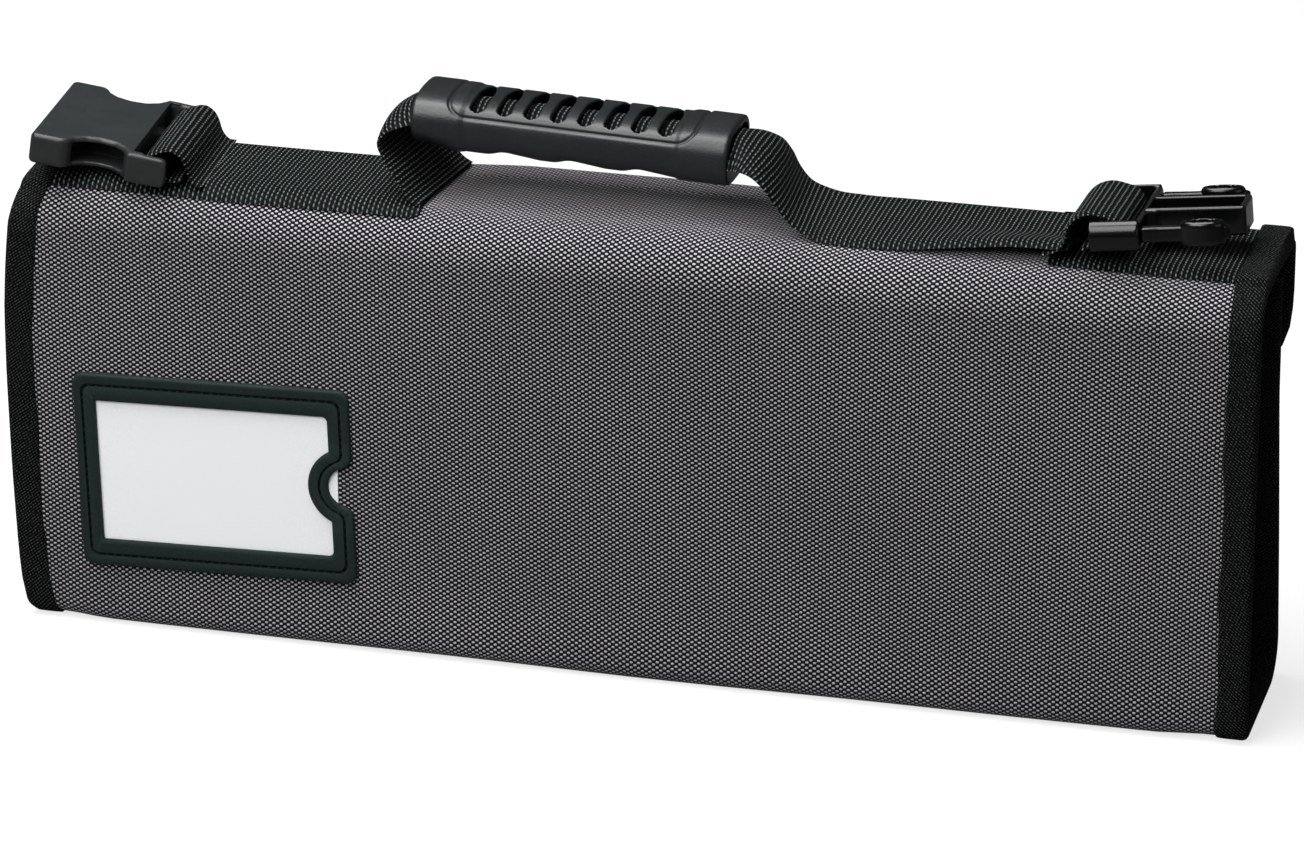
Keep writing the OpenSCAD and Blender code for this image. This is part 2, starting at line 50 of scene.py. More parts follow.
# Main sizes of the case, in millimetres, as the CAD part has them
END_X = 221.0
FRONT_Y, FLAP_Y, BACK_Y, SEAM_Y = -31.35, 32.65, 31.119, 16.0
TOP_Z, FLOOR_Z = 163.0, 0.9
CREASE_Z, FLAP_CREASE_Z, BACK_Z = 146.0, 157.0, 14.9
FRONT_R, REAR_R, BOTTOM_FRONT_R, BOTTOM_REAR_R = 17.0, 6.0, 6.0, 14.0
FLAP_Z, BACK_H, BACK_LEAN = 121.0, 136.167, math.radians(1.8)
COVER_T, LINING_T, SHELL_T, FLAP_T, EDGE_GAP = 0.95, 0.8, 4.0, 2.6, 0.9
WEB_Y, WEB_SKEW, WEB_T, WEB_W = 3.15, 2.5, 1.9, 50.0
WEB_TOP = TOP_Z + WEB_T
GRIP_X, GRIP_Z, GRIP_L, GRIP_TILT = -22.0, 189.4, 112.0, math.radians(2.2)

# Middles of the buckles' bars, the buckles' turns, and the card frame's middle and turn
FEMALE = (-167.5, WEB_Y - WEB_SKEW, 170.0)
MALE = (164.8, WEB_Y + WEB_SKEW, 172.7)
FEMALE_TILT, MALE_TILT, MALE_ROLL = math.radians(8.5), math.radians(6), math.radians(6.2)
FEMALE_YAW, MALE_YAW = math.radians(4.5), math.radians(2)
FRAME_C, FRAME_TURN = (-145.5, 60.5), math.radians(1.6)


def new_object(name, data):
    """Object with the given data, linked to the scene."""
    obj = bpy.data.objects.new(name, data)
    bpy.context.collection.objects.link(obj)
    return obj


# Camera
def place_camera():
    focal_px, width_px, sensor_width = 6300.0, 1304.0, 36.0
    yaw, pitch, roll = 0.262899, 0.389077, -0.00269
    target, distance = Vector((4.026, 0.0, 79.729)), 2186.85
    forward = Vector((-math.sin(yaw) * math.cos(pitch), math.cos(yaw) * math.cos(pitch), -math.sin(pitch)))
    right = Vector((math.cos(yaw), math.sin(yaw), 0))
    up = right.cross(forward)
    side = right * math.cos(roll) + up * math.sin(roll)
    top = up * math.cos(roll) - right * math.sin(roll)
    matrix = Matrix((side, top, -forward)).transposed().to_4x4()
    matrix.translation = (target - forward * distance) * MM
    data = bpy.data.cameras.new("camera")
    data.sensor_width = sensor_width
    data.lens = focal_px / width_px * sensor_width
    data.clip_start, data.clip_end = 0.05, 30.0
    camera = new_object("camera", data)
    camera.matrix_world = matrix
    bpy.context.scene.camera = camera


place_camera()


# Materials
class Tree:
    """A node tree, emptied and given its output node."""

    def __init__(self, data, output):
        data.use_nodes = True
        self.tree = data.node_tree
        self.tree.nodes.clear()
        self.out = self.node(output)

    def node(self, kind, inputs=None, **settings):
        """Adds a node with its settings, and fills its inputs with values or with links."""
        made = self.tree.nodes.new(kind)
        for key, value in settings.items():
            setattr(made, key, value)
        for key, value in (inputs or {}).items():
            self.put(made.inputs[key], value)
        return made

    def put(self, socket, value):
        if isinstance(value, bpy.types.NodeSocket):
            self.tree.links.new(value, socket)
        else:
            socket.default_value = (*value, 1.0) if isinstance(value, tuple) else value

    def math(self, op, *values):
        return self.node("ShaderNodeMath", dict(enumerate(values)), operation=op).outputs[0]

    def mix(self, factor, a, b):
        return self.node("ShaderNodeMix", {0: factor, 6: a, 7: b}, data_type="RGBA").outputs[2]


class Shader(Tree):
    """A material round a Principled shader."""

    def __init__(self, name, rough, spec):
        self.mat = bpy.data.materials.new(name)
        super().__init__(self.mat, "ShaderNodeOutputMaterial")
        self.bsdf = self.node("ShaderNodeBsdfPrincipled", {"Roughness": rough, "Specular IOR Level": spec})
        self.put(self.out.inputs[0], self.bsdf.outputs[0])

    def give(self, name, value):
        """Gives one input of the Principled shader a value or a link."""
        self.put(self.bsdf.inputs[name], value)

    def color(self, value):
        self.give("Base Color", value)

    def bump(self, height, distance, strength):
        made = self.node("ShaderNodeBump", {"Strength": strength, "Distance": distance, "Height": height})
        self.give("Normal", made.outputs[0])

    def step(self, value, low, high, to_low=0.0, to_high=1.0):
        inputs = dict(enumerate((value, low, high, to_low, to_high)))
        return self.node("ShaderNodeMapRange", inputs, interpolation_type="SMOOTHSTEP").outputs[0]

    def noise(self, scale, detail=2.0, rough=0.5, vector=None):
        vector = vector or self.node("ShaderNodeTexCoord").outputs["Object"]
        inputs = {"Vector": vector, "Scale": scale, "Detail": detail, "Roughness": rough}
        return self.node("ShaderNodeTexNoise", inputs).outputs[0]

    def cloth(self):
        """The two cloth coordinates of a lofted piece, in metres, and the whole vector."""
        vector = self.node("ShaderNodeAttribute", attribute_name="cloth").outputs["Vector"]
        split = self.node("ShaderNodeSeparateXYZ", {0: vector})
        return split.outputs[0], split.outputs[1], vector

    def wave(self, value, half_period):
        """Cosine of a length in metres."""
        return self.math("COSINE", self.math("MULTIPLY", value, math.pi / half_period))


def grey_nylon():
    dot_u, dot_v, strand = 0.00133, 0.0009, 0.00022
    s = Shader("grey_nylon", 0.7, 0.06)
    u, v, vector = s.cloth()
    drift = s.math("MULTIPLY_ADD", s.noise(35.0, 2.0, 0.5, vector), 0.0012, -0.0006)
    u = s.math("ADD", u, drift)
    v = s.math("ADD", v, s.math("MULTIPLY", drift, 0.7))
    weave = s.math("MULTIPLY", s.wave(u, dot_u), s.wave(v, dot_v))
    dots = s.step(weave, 0.08, 0.6)
    strands = s.math("MULTIPLY_ADD", s.wave(s.math("MULTIPLY_ADD", v, 0.35, u), strand), 0.10, 0.9)
    grain = s.step(s.noise(900.0, 2.0, 0.6, vector), 0.3, 0.7, 0.78, 1.1)
    cloud = s.step(s.noise(14.0, 3.0, 0.5, vector), 0.35, 0.65, 0.94, 1.05)
    level = s.math("MULTIPLY", s.math("MULTIPLY", strands, grain), cloud)
    pale = s.mix(level, (0.0, 0.0, 0.0), (0.50, 0.48, 0.52))
    s.color(s.mix(dots, (0.0015, 0.0015, 0.002), pale))
    s.bump(weave, 0.00022, 0.7)
    s.give("Sheen Weight", 0.15)
    return s.mat


def twill_tape():
    rib = 0.0006
    s = Shader("twill_tape", 0.85, 0.04)
    u, v, vector = s.cloth()
    diagonal = s.wave(s.math("ADD", u, s.math("MULTIPLY", v, 0.8)), rib)
    cross = s.wave(s.math("SUBTRACT", v, s.math("MULTIPLY", u, 0.35)), rib)
    fuzz = s.step(s.noise(1300.0, 3.0, 0.7, vector), 0.35, 0.65)
    twill = s.step(s.math("MULTIPLY_ADD", cross, 0.45, diagonal), 0.1, 1.1)
    height = s.math("MULTIPLY_ADD", twill, 0.7, s.math("MULTIPLY", fuzz, 0.3))
    s.color(s.mix(s.math("MULTIPLY", twill, fuzz), (0.0008, 0.0010, 0.0010), (0.066, 0.076, 0.073)))
    s.bump(height, 0.00025, 0.8)
    s.give("Sheen Weight", 0.01)
    s.give("Sheen Roughness", 0.5)
    return s.mat


def webbing():
    rib_pitch, strand_half = 0.00175, 0.001
    s = Shader("webbing", 0.6, 0.06)
    u, v, vector = s.cloth()
    shaky = s.math("MULTIPLY_ADD", s.noise(300.0, 2.0, 0.5, vector), 0.0006, u)
    rib = s.math("ABSOLUTE", s.math("SINE", s.math("MULTIPLY", shaky, math.pi / rib_pitch)))
    strand = s.wave(s.math("MULTIPLY_ADD", u, 0.55, v), strand_half)
    dashes = s.math("MULTIPLY", s.step(rib, 0.78, 0.99), s.step(strand, -0.55, 0.45, 0.1, 1.0))
    height = s.math("MULTIPLY_ADD", dashes, 0.5, s.math("MULTIPLY", rib, 0.5))
    grain = s.step(s.noise(1100.0, 2.0, 0.6, vector), 0.3, 0.7, 0.55, 1.3)
    s.color(s.mix(s.math("MULTIPLY", dashes, grain), (0.0015, 0.0018, 0.0018), (0.125, 0.147, 0.143)))
    s.bump(height, 0.0005, 0.9)
    s.give("Sheen Weight", 0.005)
    return s.mat


def plain_cloth(name, color, half_period):
    s = Shader(name, 0.8, 0.06)
    u, v, vector = s.cloth()
    weave = s.math("MULTIPLY", s.wave(u, half_period), s.wave(v, half_period * 0.8))
    grain = s.noise(700.0, 2.0, 0.6, vector)
    dark = tuple(c * 0.35 for c in color)
    s.color(s.mix(s.step(s.math("MULTIPLY_ADD", grain, 0.8, weave), -0.2, 1.0), dark, color))
    s.bump(weave, 0.00012, 0.7)
    return s.mat


def pile():
    s = Shader("fastener_tape", 0.95, 0.15)
    _, _, vector = s.cloth()
    fuzz = s.noise(1900.0, 3.0, 0.8, vector)
    s.color(s.mix(s.step(fuzz, 0.35, 0.7), (0.004, 0.004, 0.004), (0.045, 0.045, 0.045)))
    s.bump(fuzz, 0.0006, 1.0)
    return s.mat


def moulded(name, dark, pale, rough, spec, grain_scale, grain_depth):
    """Moulded plastic with a fine grain, and paler, smoother edges."""
    s = Shader(name, rough, spec)
    grain = s.noise(grain_scale, 3.0, 0.6)
    cloud = s.step(s.noise(60.0, 3.0, 0.5), 0.35, 0.7)
    edge = s.step(s.node("ShaderNodeNewGeometry").outputs["Pointiness"], 0.50, 0.56)
    base = s.mix(s.step(grain, 0.35, 0.7, 0.2, 0.8), dark, pale)
    worn = tuple(min(1.0, c * 1.8) for c in pale)
    s.color(s.mix(s.math("MULTIPLY", edge, 0.35), base, worn))
    uneven = s.math("MULTIPLY_ADD", cloud, 0.08, rough - 0.04)
    s.give("Roughness", s.math("ADD", uneven, s.math("MULTIPLY", edge, -0.08)))
    s.bump(grain, grain_depth, 0.6)
    return s.mat


def clear_film():
    s = Shader("clear_film", 0.12, 0.5)
    s.color(s.mix(s.noise(25.0), (0.93, 0.94, 0.94), (0.97, 0.98, 0.98)))
    s.give("Alpha", 0.06)
    s.bump(s.noise(18.0, 2.0), 0.0002, 0.15)
    return s.mat


def fibres(name, rough, scale, dark, pale, depth, strength):
    """Paper or board, with fine fibres."""
    s = Shader(name, rough, 0.3)
    fibre = s.noise(scale, 3.0, 0.7)
    s.color(s.mix(s.step(fibre, 0.3, 0.7), dark, pale))
    s.bump(fibre, depth, strength)
    return s.mat


MAT = {
    "grey_nylon": grey_nylon(),
    "twill_tape": twill_tape(),
    "webbing": webbing(),
    "lining": plain_cloth("lining", (0.016, 0.016, 0.018), 0.0006),
    "sleeve_cloth": plain_cloth("sleeve_cloth", (0.03, 0.03, 0.033), 0.0009),
    "elastic": plain_cloth("elastic", (0.035, 0.035, 0.037), 0.0011),
    "fastener_tape": pile(),
    "board": fibres("board", 0.6, 400.0, (0.012, 0.012, 0.012), (0.022, 0.022, 0.021), 0.0001, 0.5),
    "buckle_plastic": moulded(
        "buckle_plastic", (0.0075, 0.0095, 0.0095), (0.0165, 0.0195, 0.0195), 0.46, 0.45, 1900.0, 0.00010),
    "plug_plastic": moulded(
        "plug_plastic", (0.0006, 0.0008, 0.0008), (0.0016, 0.0020, 0.0020), 0.2, 0.38, 2600.0, 0.00002),
    "grip_plastic": moulded(
        "grip_plastic", (0.0025, 0.0038, 0.0043), (0.0070, 0.0095, 0.0105), 0.42, 0.54, 1300.0, 0.00014),
    "frame_rubber": moulded(
        "frame_rubber", (0.006, 0.0125, 0.0115), (0.0145, 0.024, 0.022), 0.6, 0.1, 1500.0, 0.00006),
    "thread": moulded(
        "thread", (0.0004, 0.0005, 0.0005), (0.0016, 0.0019, 0.0018), 0.7, 0.1, 2500.0, 0.00005),
    "clear_film": clear_film(),
    "card_paper": fibres("card_paper", 0.55, 900.0, (0.87, 0.88, 0.90), (0.90, 0.91, 0.93), 0.00003, 0.4),
}


# Mesh tools
def raw_object(name, verts, faces, uv=None):
    """Object with its normals facing out, from points and cloth coordinates in millimetres."""
    mesh = bpy.data.meshes.new(name)
    mesh.from_pydata([tuple(v) for v in np.asarray(verts) * MM], [], faces)
    if uv is not None:
        data = np.zeros((len(mesh.vertices), 3), np.float32)
        data[:, :2] = np.asarray(uv).reshape(-1, 2) * MM
        attribute = mesh.attributes.new("cloth", "FLOAT_VECTOR", "POINT")
        attribute.data.foreach_set("vector", data.ravel())
    bm = bmesh.new()
    bm.from_mesh(mesh)
    bmesh.ops.recalc_face_normals(bm, faces=bm.faces)
    bm.to_mesh(mesh)
    bm.free()
    return new_object(name, mesh)


def dress(obj, slot, sharp):
    """Shades a mesh and gives it its material."""
    mesh = obj.data
    mesh.polygons.foreach_set("use_smooth", [True] * len(mesh.polygons))
    mesh.set_sharp_from_angle(angle=math.radians(sharp))
    mesh.materials.clear()
    mesh.materials.append(MAT[slot])
    return obj


def tube(n, m, base=0, closed=False):
    """Faces round n rings of m points, with a cap at each end unless the last ring joins the first."""
    faces = []
    for i in range(n if closed else n - 1):
        low, high = base + i * m, base + (i + 1) % n * m
        faces += [(low + j, low + (j + 1) % m, high + (j + 1) % m, high + j) for j in range(m)]
    if not closed:
        faces += [tuple(range(base, base + m)), tuple(range(base + (n - 1) * m, base + n * m))]
    return faces


def loft(name, rings, slot, uv, sharp):
    """Dressed tube through closed rings."""
    rings = np.asarray(rings, float)
    return dress(raw_object(name, rings.reshape(-1, 3), tube(*rings.shape[:2]), uv), slot, sharp)


def smooth(t):
    t = np.clip(t, 0.0, 1.0)
    return t * t * (3 - 2 * t)


def lengths(points):
    """Length along a row of points, from the first one."""
    return np.concatenate([[0], np.cumsum(np.linalg.norm(np.diff(points, axis=0), axis=1))])


# Section of the case in the YZ plane: points, outward normals and lengths along it
def line(a, b, normal, step=7.0):
    a, b = np.array(a, float), np.array(b, float)
    count = max(2, int(np.linalg.norm(b - a) / step) + 1)
    t = np.linspace(0, 1, count)[:, None]
    return a + (b - a) * t, np.repeat([normal], count, 0)


def arc(centre, radius, start, end, count=16):
    angle = np.radians(np.linspace(start, end, count))
    normal = np.stack([np.cos(angle), np.sin(angle)], 1)
    return np.array(centre) + radius * normal, normal


def chain(*parts):
    points, normals = [], []
    for p, n in parts:
        start = 1 if points else 0
        points.extend(p[start:])
        normals.extend(n[start:])
    points, normals = np.array(points), np.array(normals, float)
    return points, normals, lengths(points)


# Stretches beside the creases, where the points lie close together
FOLD, BACK_FOLD = 7.0, 8.0
FRONT_PATH = chain(
    line((0, FLOOR_Z), (FRONT_Y + BOTTOM_FRONT_R, FLOOR_Z), (0, -1)),
    arc((FRONT_Y + BOTTOM_FRONT_R, FLOOR_Z + BOTTOM_FRONT_R), BOTTOM_FRONT_R, -90, -180),
    line((FRONT_Y, FLOOR_Z + BOTTOM_FRONT_R), (FRONT_Y, CREASE_Z - FOLD), (-1, 0)),
    line((FRONT_Y, CREASE_Z - FOLD), (FRONT_Y, CREASE_Z), (-1, 0), step=1.0),
    arc((FRONT_Y + FRONT_R, CREASE_Z), FRONT_R, 180, 90, count=28),
    line((FRONT_Y + FRONT_R, TOP_Z), (SEAM_Y, TOP_Z), (0, 1)),
)
FLAP_PATH = chain(
    line((SEAM_Y, TOP_Z), (FLAP_Y - REAR_R, TOP_Z), (0, 1)),
    arc((FLAP_Y - REAR_R, FLAP_CREASE_Z), REAR_R, 90, 0),
    line((FLAP_Y, FLAP_CREASE_Z), (FLAP_Y, FLAP_CREASE_Z - FOLD), (1, 0), step=1.0),
    line((FLAP_Y, FLAP_CREASE_Z - FOLD), (FLAP_Y, FLAP_Z + EDGE_GAP), (1, 0)),
)
LEAN_UP = np.array([-math.sin(BACK_LEAN), math.cos(BACK_LEAN)])
LEAN_OUT = np.array([math.cos(BACK_LEAN), math.sin(BACK_LEAN)])
BACK_FOOT = np.array([BACK_Y, BACK_Z])
BACK_PATH = chain(
    line((0, FLOOR_Z), (BACK_Y - BOTTOM_REAR_R, FLOOR_Z), (0, -1)),
    arc((BACK_Y - BOTTOM_REAR_R, BACK_Z), BOTTOM_REAR_R, -90, 0, count=24),
    line(BACK_FOOT + LEAN_UP * 0.3, BACK_FOOT + LEAN_UP * BACK_FOLD, LEAN_OUT, step=1.0),
    line(BACK_FOOT + LEAN_UP * BACK_FOLD, BACK_FOOT + LEAN_UP * (BACK_H - EDGE_GAP), LEAN_OUT),
)

# Places along a section path, and how far the shell's end stands back there
END_PULL = {
    ("front", -1): (
        (18, 2.6), (24, 3.3), (27.5, 4.9), (30, 4.6), (33, 2.9), (42, 1.25), (51, 0.5), (60, 0.1), (82, -0.7),
        (105, -1.1), (120, -1.3), (143, -1.1), (155, -0.4), (164, 0.3), (177, 1.7), (188, 3.8), (197, 5.9),
        (205, 6.2), (231, 6.0)),
    ("front", 1): ((0, 0.0),),
    ("flap", -1): ((8, 6.0), (28, 3.0)),
    ("flap", 1): ((6, 0.0), (14, -0.5), (36, -0.5), (42, -0.2), (48, 0.5), (52, 1.5), (56, 3.2)),
    ("back", -1): ((14, 2.6), (22, 0.0)),
    ("back", 1): ((40, 0.0), (80, 0.9), (130, 2.3), (200, 2.3)),
}


def end_pull(label, side, s):
    """How far an end of the shell stands back from the case's end, along a section path."""
    places, pulls = zip(*END_PULL[label, side])
    return np.interp(s, places, pulls)


def swell(x, s, amount):
    """Slow unevenness of cloth over a board, none at its borders."""
    border = smooth((END_X - 14 - np.abs(x)) / 40) * smooth(s / 30) * smooth((s[-1] - s) / 30)
    wave = np.sin(x / 37 + 0.6) * np.sin(s / 31 + 1.1) + 0.6 * np.sin(x / 21 + s / 27)
    wave += 0.4 * np.sin(s / 12 - x / 55)
    return amount * border * (0.5 + 0.5 * wave)


def bulge(x, s):
    """Shift in y and z of the front's lower edge, which hangs forward and down."""
    forward, more, more_x, down = 1.1, 0.9, -60, 0.7
    sag = smooth((END_X - 13 - np.abs(x)) / 22) * smooth((s - 8) / 12)
    out = (forward + more * np.exp(-(((x - more_x) / 60) ** 2))) * sag * (1 - smooth((s - 36) / 14))
    return np.column_stack([-out, -down * sag * (1 - smooth((s - 34) / 12))])


def shell(name, label, path, low, high, slot, amount=0.0, stations=60):
    """Layer of cloth along a section path, between two depths. The covers swell, and rise under the grip."""
    crest_h, crest_x, crest_half = 1.2, -8, 66
    points, normals, length = path
    left, right = (END_X - 1.0 - end_pull(label, side, length) for side in (-1, 1))
    crest = smooth((points[:, 1] - TOP_Z + 9) / 6) * (points[:, 0] > -14)
    rings, uv = [], []
    for t in np.linspace(-1, 1, stations):
        x = np.where(t < 0, t * left, t * right)
        lift = swell(x, length, amount)
        shift = np.zeros_like(points)
        if amount > 0:
            lift += crest_h * crest * smooth((crest_half - np.abs(x - crest_x)) / 30)
            if label == "front":
                shift = bulge(x, length)
        outer, inner = (points + normals * (lift - depth)[:, None] + shift for depth in (low, high))
        both = np.concatenate([x, x[::-1]])
        rings.append(np.column_stack([both, np.concatenate([outer, inner[::-1]])]))
        uv.append(np.column_stack([both, np.concatenate([length, length[::-1]])]))
    return loft(name, rings, slot, uv, 50.0)


# Section of the tape round an edge as thick as the shell: distance in from the edge, and height
TAPE_PROFILE = np.array([
    (11.0, 0.10), (10.8, 0.55), (10.2, 0.80), (8.0, 0.88), (4.5, 0.88), (2.0, 0.84), (0.9, 0.45),
    (0.25, -0.5), (0.0, -2.0), (0.25, -3.5), (0.9, -4.45), (2.0, -4.84), (4.5, -4.88), (8.0, -4.88),
    (10.2, -4.80), (10.8, -4.55), (11.0, -4.10), (10.4, -4.02), (1.6, -4.02), (1.1, -3.6), (1.1, -0.4),
    (1.6, 0.02), (10.4, 0.02)])


def binding(name, ends, inward, outward, thickness, seed, raised=0.0):
    """Tape folded over an edge: ends are outer points along it, with their ways in and out."""
    length, across = lengths(ends), lengths(TAPE_PROFILE)
    thickness, raised = (np.broadcast_to(v, len(length)) for v in (thickness, raised))
    inset, height = TAPE_PROFILE.T
    rings, uv = [], []
    for i, s in enumerate(length):
        wobble = 0.30 * math.sin(s / 9.0 + seed) + 0.2 * math.sin(s / 3.7 + 2 * seed)
        da = inset + np.where(inset > 6, wobble, 0.0)
        dn = height + np.where(height > 0.05, raised[i], 0.0)
        dn += np.where(height < -1.9, SHELL_T - thickness[i], 0.0)
        rings.append(ends[i] + da[:, None] * inward[i] + dn[:, None] * outward[i])
        uv.append(np.column_stack([np.full(len(across), s), across]))
    return loft(name, rings, "twill_tape", uv, 60.0)


def end_binding(name, path, side, inset, raised, seed, thickness):
    points, normals, _ = path
    ends = np.column_stack([side * (END_X - inset), points])
    inward = np.repeat([(-side, 0, 0)], len(points), 0)
    outward = np.column_stack([np.zeros(len(points)), normals])
    return binding(name, ends, inward, outward, thickness, seed, raised)


# Covers, linings and bindings of the folding shell
def web_raise(path, side):
    """How far the tape stands up over the webbing's end, and at the right over the rear too."""
    points, _, _ = path
    centre = WEB_Y + side * WEB_SKEW
    top = smooth((points[:, 1] - 150) / 8)
    inside = smooth((WEB_W / 2 + 1.5 - np.abs(points[:, 0] - centre)) / 3)
    rear = 1.3 * smooth(points[:, 0] / 12) * smooth((points[:, 1] - 155) / 6) if side > 0 else 0.0
    return 1.5 * top * inside + rear


def folding_shell():
    seam = (0.0, FRONT_Y * MM, (CREASE_Z - 5) * MM), (0.0, FRONT_Y * MM, (CREASE_Z + 5) * MM)
    flap = (0.0, FLAP_Y * MM, (FLAP_CREASE_Z + 3) * MM), (0.0, FLAP_Y * MM, (FLAP_CREASE_Z - 4) * MM)
    back = (0.0, BACK_Y * MM, (BACK_Z - 5) * MM), (0.0, BACK_Y * MM, (BACK_Z + 5) * MM)
    flap_thick = SHELL_T - (SHELL_T - FLAP_T) * smooth((FLAP_PATH[2] - 9) / 8)
    runs = (
        ("front", FRONT_PATH, ("tray", "lid"), seam, SHELL_T, 0.5,
         ("front_cover", "spine_cover"), ("front_lining", "spine_lining")),
        ("flap", FLAP_PATH, ("lid", "flap"), flap, flap_thick, 0.15, ("flap_cover",), ("flap_lining",)),
        ("back", BACK_PATH, ("tray", "back_panel"), back, SHELL_T, 0.5, ("back_cover",), ("back_lining",)),
    )
    for label, path, bodies, ends, thick, amount, covers, linings in runs:
        cover = shell(label + "_cloth", label, path, 0.0, COVER_T, "grey_nylon", amount)
        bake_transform(cover)
        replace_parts(cover, *covers)
        inner = shell(label + "_inner_cloth", label, path, thick - LINING_T, thick, "lining")
        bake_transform(inner)
        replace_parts(inner, *linings)
        for side, word in ((-1, "left"), (1, "right")):
            tape = end_binding(label + "_binding_" + word, path, side, end_pull(label, side, path[2]),
                               web_raise(path, side), 1.3 * side + np.max(thick), thick)
            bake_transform(tape)
            if label == "front":
                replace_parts(tape, "front_tape_" + word, "spine_tape_" + word)


def edge_binding(name, point, inward, outward, thickness, body, node, left, right):
    """Tape along a long edge through a point in YZ, with its two ends standing back."""
    xs = np.linspace(-END_X + 1.5 + left, END_X - 1.5 - right, 110)
    ends = np.array([(x, *point) for x in xs])
    inward, outward = (np.repeat([(0, *way)], len(xs), 0) for way in (inward, outward))
    tape = binding(name, ends, inward, outward, thickness, seed=thickness)
    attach(tape, body)
    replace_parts(tape, node)


folding_shell()
edge_binding("flap_edge_binding", (FLAP_Y - 0.06, FLAP_Z), (0, 1), (1, 0), 2.5, "flap", "flap_tape", 3.0, 3.2)
back_top = BACK_FOOT + LEAN_UP * BACK_H - LEAN_OUT * 0.06
edge_binding("back_edge_binding", back_top, -LEAN_UP, LEAN_OUT, 3.9, "back_panel", "back_tape", 0.0, 2.3)


# Webbing
def on_spine(s, h):
    """Point of the YZ section at arc position s from the middle of the spine, h above the cloth."""
    flat_low, flat_high = FRONT_Y + FRONT_R, FLAP_Y - REAR_R
    if s < flat_low:
        a = (flat_low - s) / FRONT_R
        return flat_low - (FRONT_R + h) * math.sin(a), CREASE_Z + (FRONT_R + h) * math.cos(a)
    if s > flat_high:
        a = (s - flat_high) / REAR_R
        return flat_high + (REAR_R + h) * math.sin(a), FLAP_CREASE_Z + (REAR_R + h) * math.cos(a)
    return s, TOP_Z + h


# Places across a band of webbing, -1 to 1 over its top and back under it
BAND_COUNT = 27
BAND = np.concatenate([np.linspace(-1, 1, BAND_COUNT), np.linspace(1, -1, BAND_COUNT)[1:-1]])
BAND_TOP = np.arange(len(BAND)) < BAND_COUNT


def band_height(t, top):
    edge = math.sqrt(max(0.0, 1 - abs(t) ** 10))
    return WEB_T * (0.5 + 0.5 * edge) if top else WEB_T * (0.5 - 0.5 * edge) + 0.02


def flat_run(name, x0, x1, centre, taper, *nodes):
    """Webbing that lies on the spine, narrowed at its right end by a share of its width."""
    rings, uv = [], []
    for x in np.arange(x0, x1 + 0.01, 1.5):
        corner = max(0.0, 1 - (x1 - x) / 5.0)
        half = WEB_W / 2 * (1 - taper * corner * corner)
        middle = 0.25 * math.sin(x / 17.0)
        rings.append([(x, *on_spine(centre + t * half + middle, band_height(t, top)))
                      for t, top in zip(BAND, BAND_TOP)])
        uv.append([(x, t * half) for t in BAND])
    obj = loft(name, rings, "webbing", uv, 60.0)
    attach(obj, "lid")
    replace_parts(obj, *nodes)


flat_run("left_webbing", -212.0, -71.5, WEB_Y - WEB_SKEW, 0.10, "end_webbing_left", "webbing_left")
flat_run("right_end_webbing", 146.0, 212.5, WEB_Y + WEB_SKEW, 0.0, "end_webbing_right")


def curve_points(points, step):
    """Smooth curve through rows of numbers, sampled evenly along its first two columns."""
    p = np.asarray(points, float)
    chord = lengths(p[:, :2])
    fine = np.linspace(0, chord[-1], 1500)
    out = []
    for column in p.T:
        slope = np.gradient(column, chord)
        i = np.clip(np.searchsorted(chord, fine, side="right") - 1, 0, len(chord) - 2)
        width = chord[i + 1] - chord[i]
        t = (fine - chord[i]) / width
        out.append((2 * t**3 - 3 * t**2 + 1) * column[i] + (t**3 - 2 * t**2 + t) * width * slope[i]
                   + (-2 * t**3 + 3 * t**2) * column[i + 1] + (t**3 - t**2) * width * slope[i + 1])
    length = lengths(np.array(out[:2]).T)
    even = np.arange(0, length[-1], step)
    return np.array([np.interp(even, length, c) for c in out]).T, even


def ribbon(name, points, y, step=1.3, matrix=None, trim=None, bend=None):
    """Band of webbing along a curve in XZ. Columns: x, z, half width, crown, skew, shift in y."""
    q, length = curve_points(points, step)
    tangent = np.gradient(q[:, :2], axis=0)
    tangent /= np.linalg.norm(tangent, axis=1)[:, None]
    rings, uv = [], []
    for (x, z, half, crown, skew, shift), (along, rise), s in zip(q, tangent, length):
        ring = []
        for t, top in zip(BAND, BAND_TOP):
            h = band_height(t, top) - WEB_T / 2 - crown * abs(t) ** 2.4
            across = y + shift + t * half
            drop = bend(x, across, t) if bend else 0.0
            ring.append((x - rise * h + skew * t, across, z + along * h + drop))
        rings.append(ring)
        uv.append([(s, t * half) for t in BAND])
    rings = np.array(rings)
    if matrix is not None:
        rings = np.array([matrix @ Vector(v) for v in rings.reshape(-1, 3)]).reshape(rings.shape)
    if trim is not None:
        rings[:, :, 2] = np.maximum(rings[:, :, 2], trim)
    return loft(name, rings, "webbing", uv, 60.0)


def grip_axis(x):
    return GRIP_Z - (x - GRIP_X) * math.tan(GRIP_TILT)


def in_grip(*places):
    """Stations of the webbing where it is squeezed inside the grip."""
    return [(x, grip_axis(x) + 4.7, 13.0, 7.6, 0.0, 0.0) for x in places]


def near_lift(x, y, t):
    """The right run follows the rolled spine, and its near edge lifts towards the tilted plug."""
    on = float(smooth((x - 58) / 12))
    edge = 5.5 * float(smooth((x - 83) / 60)) * float(smooth((-t + 0.15) / 1.1))
    return on * (on_spine(y, 0.0)[1] - TOP_Z + edge)


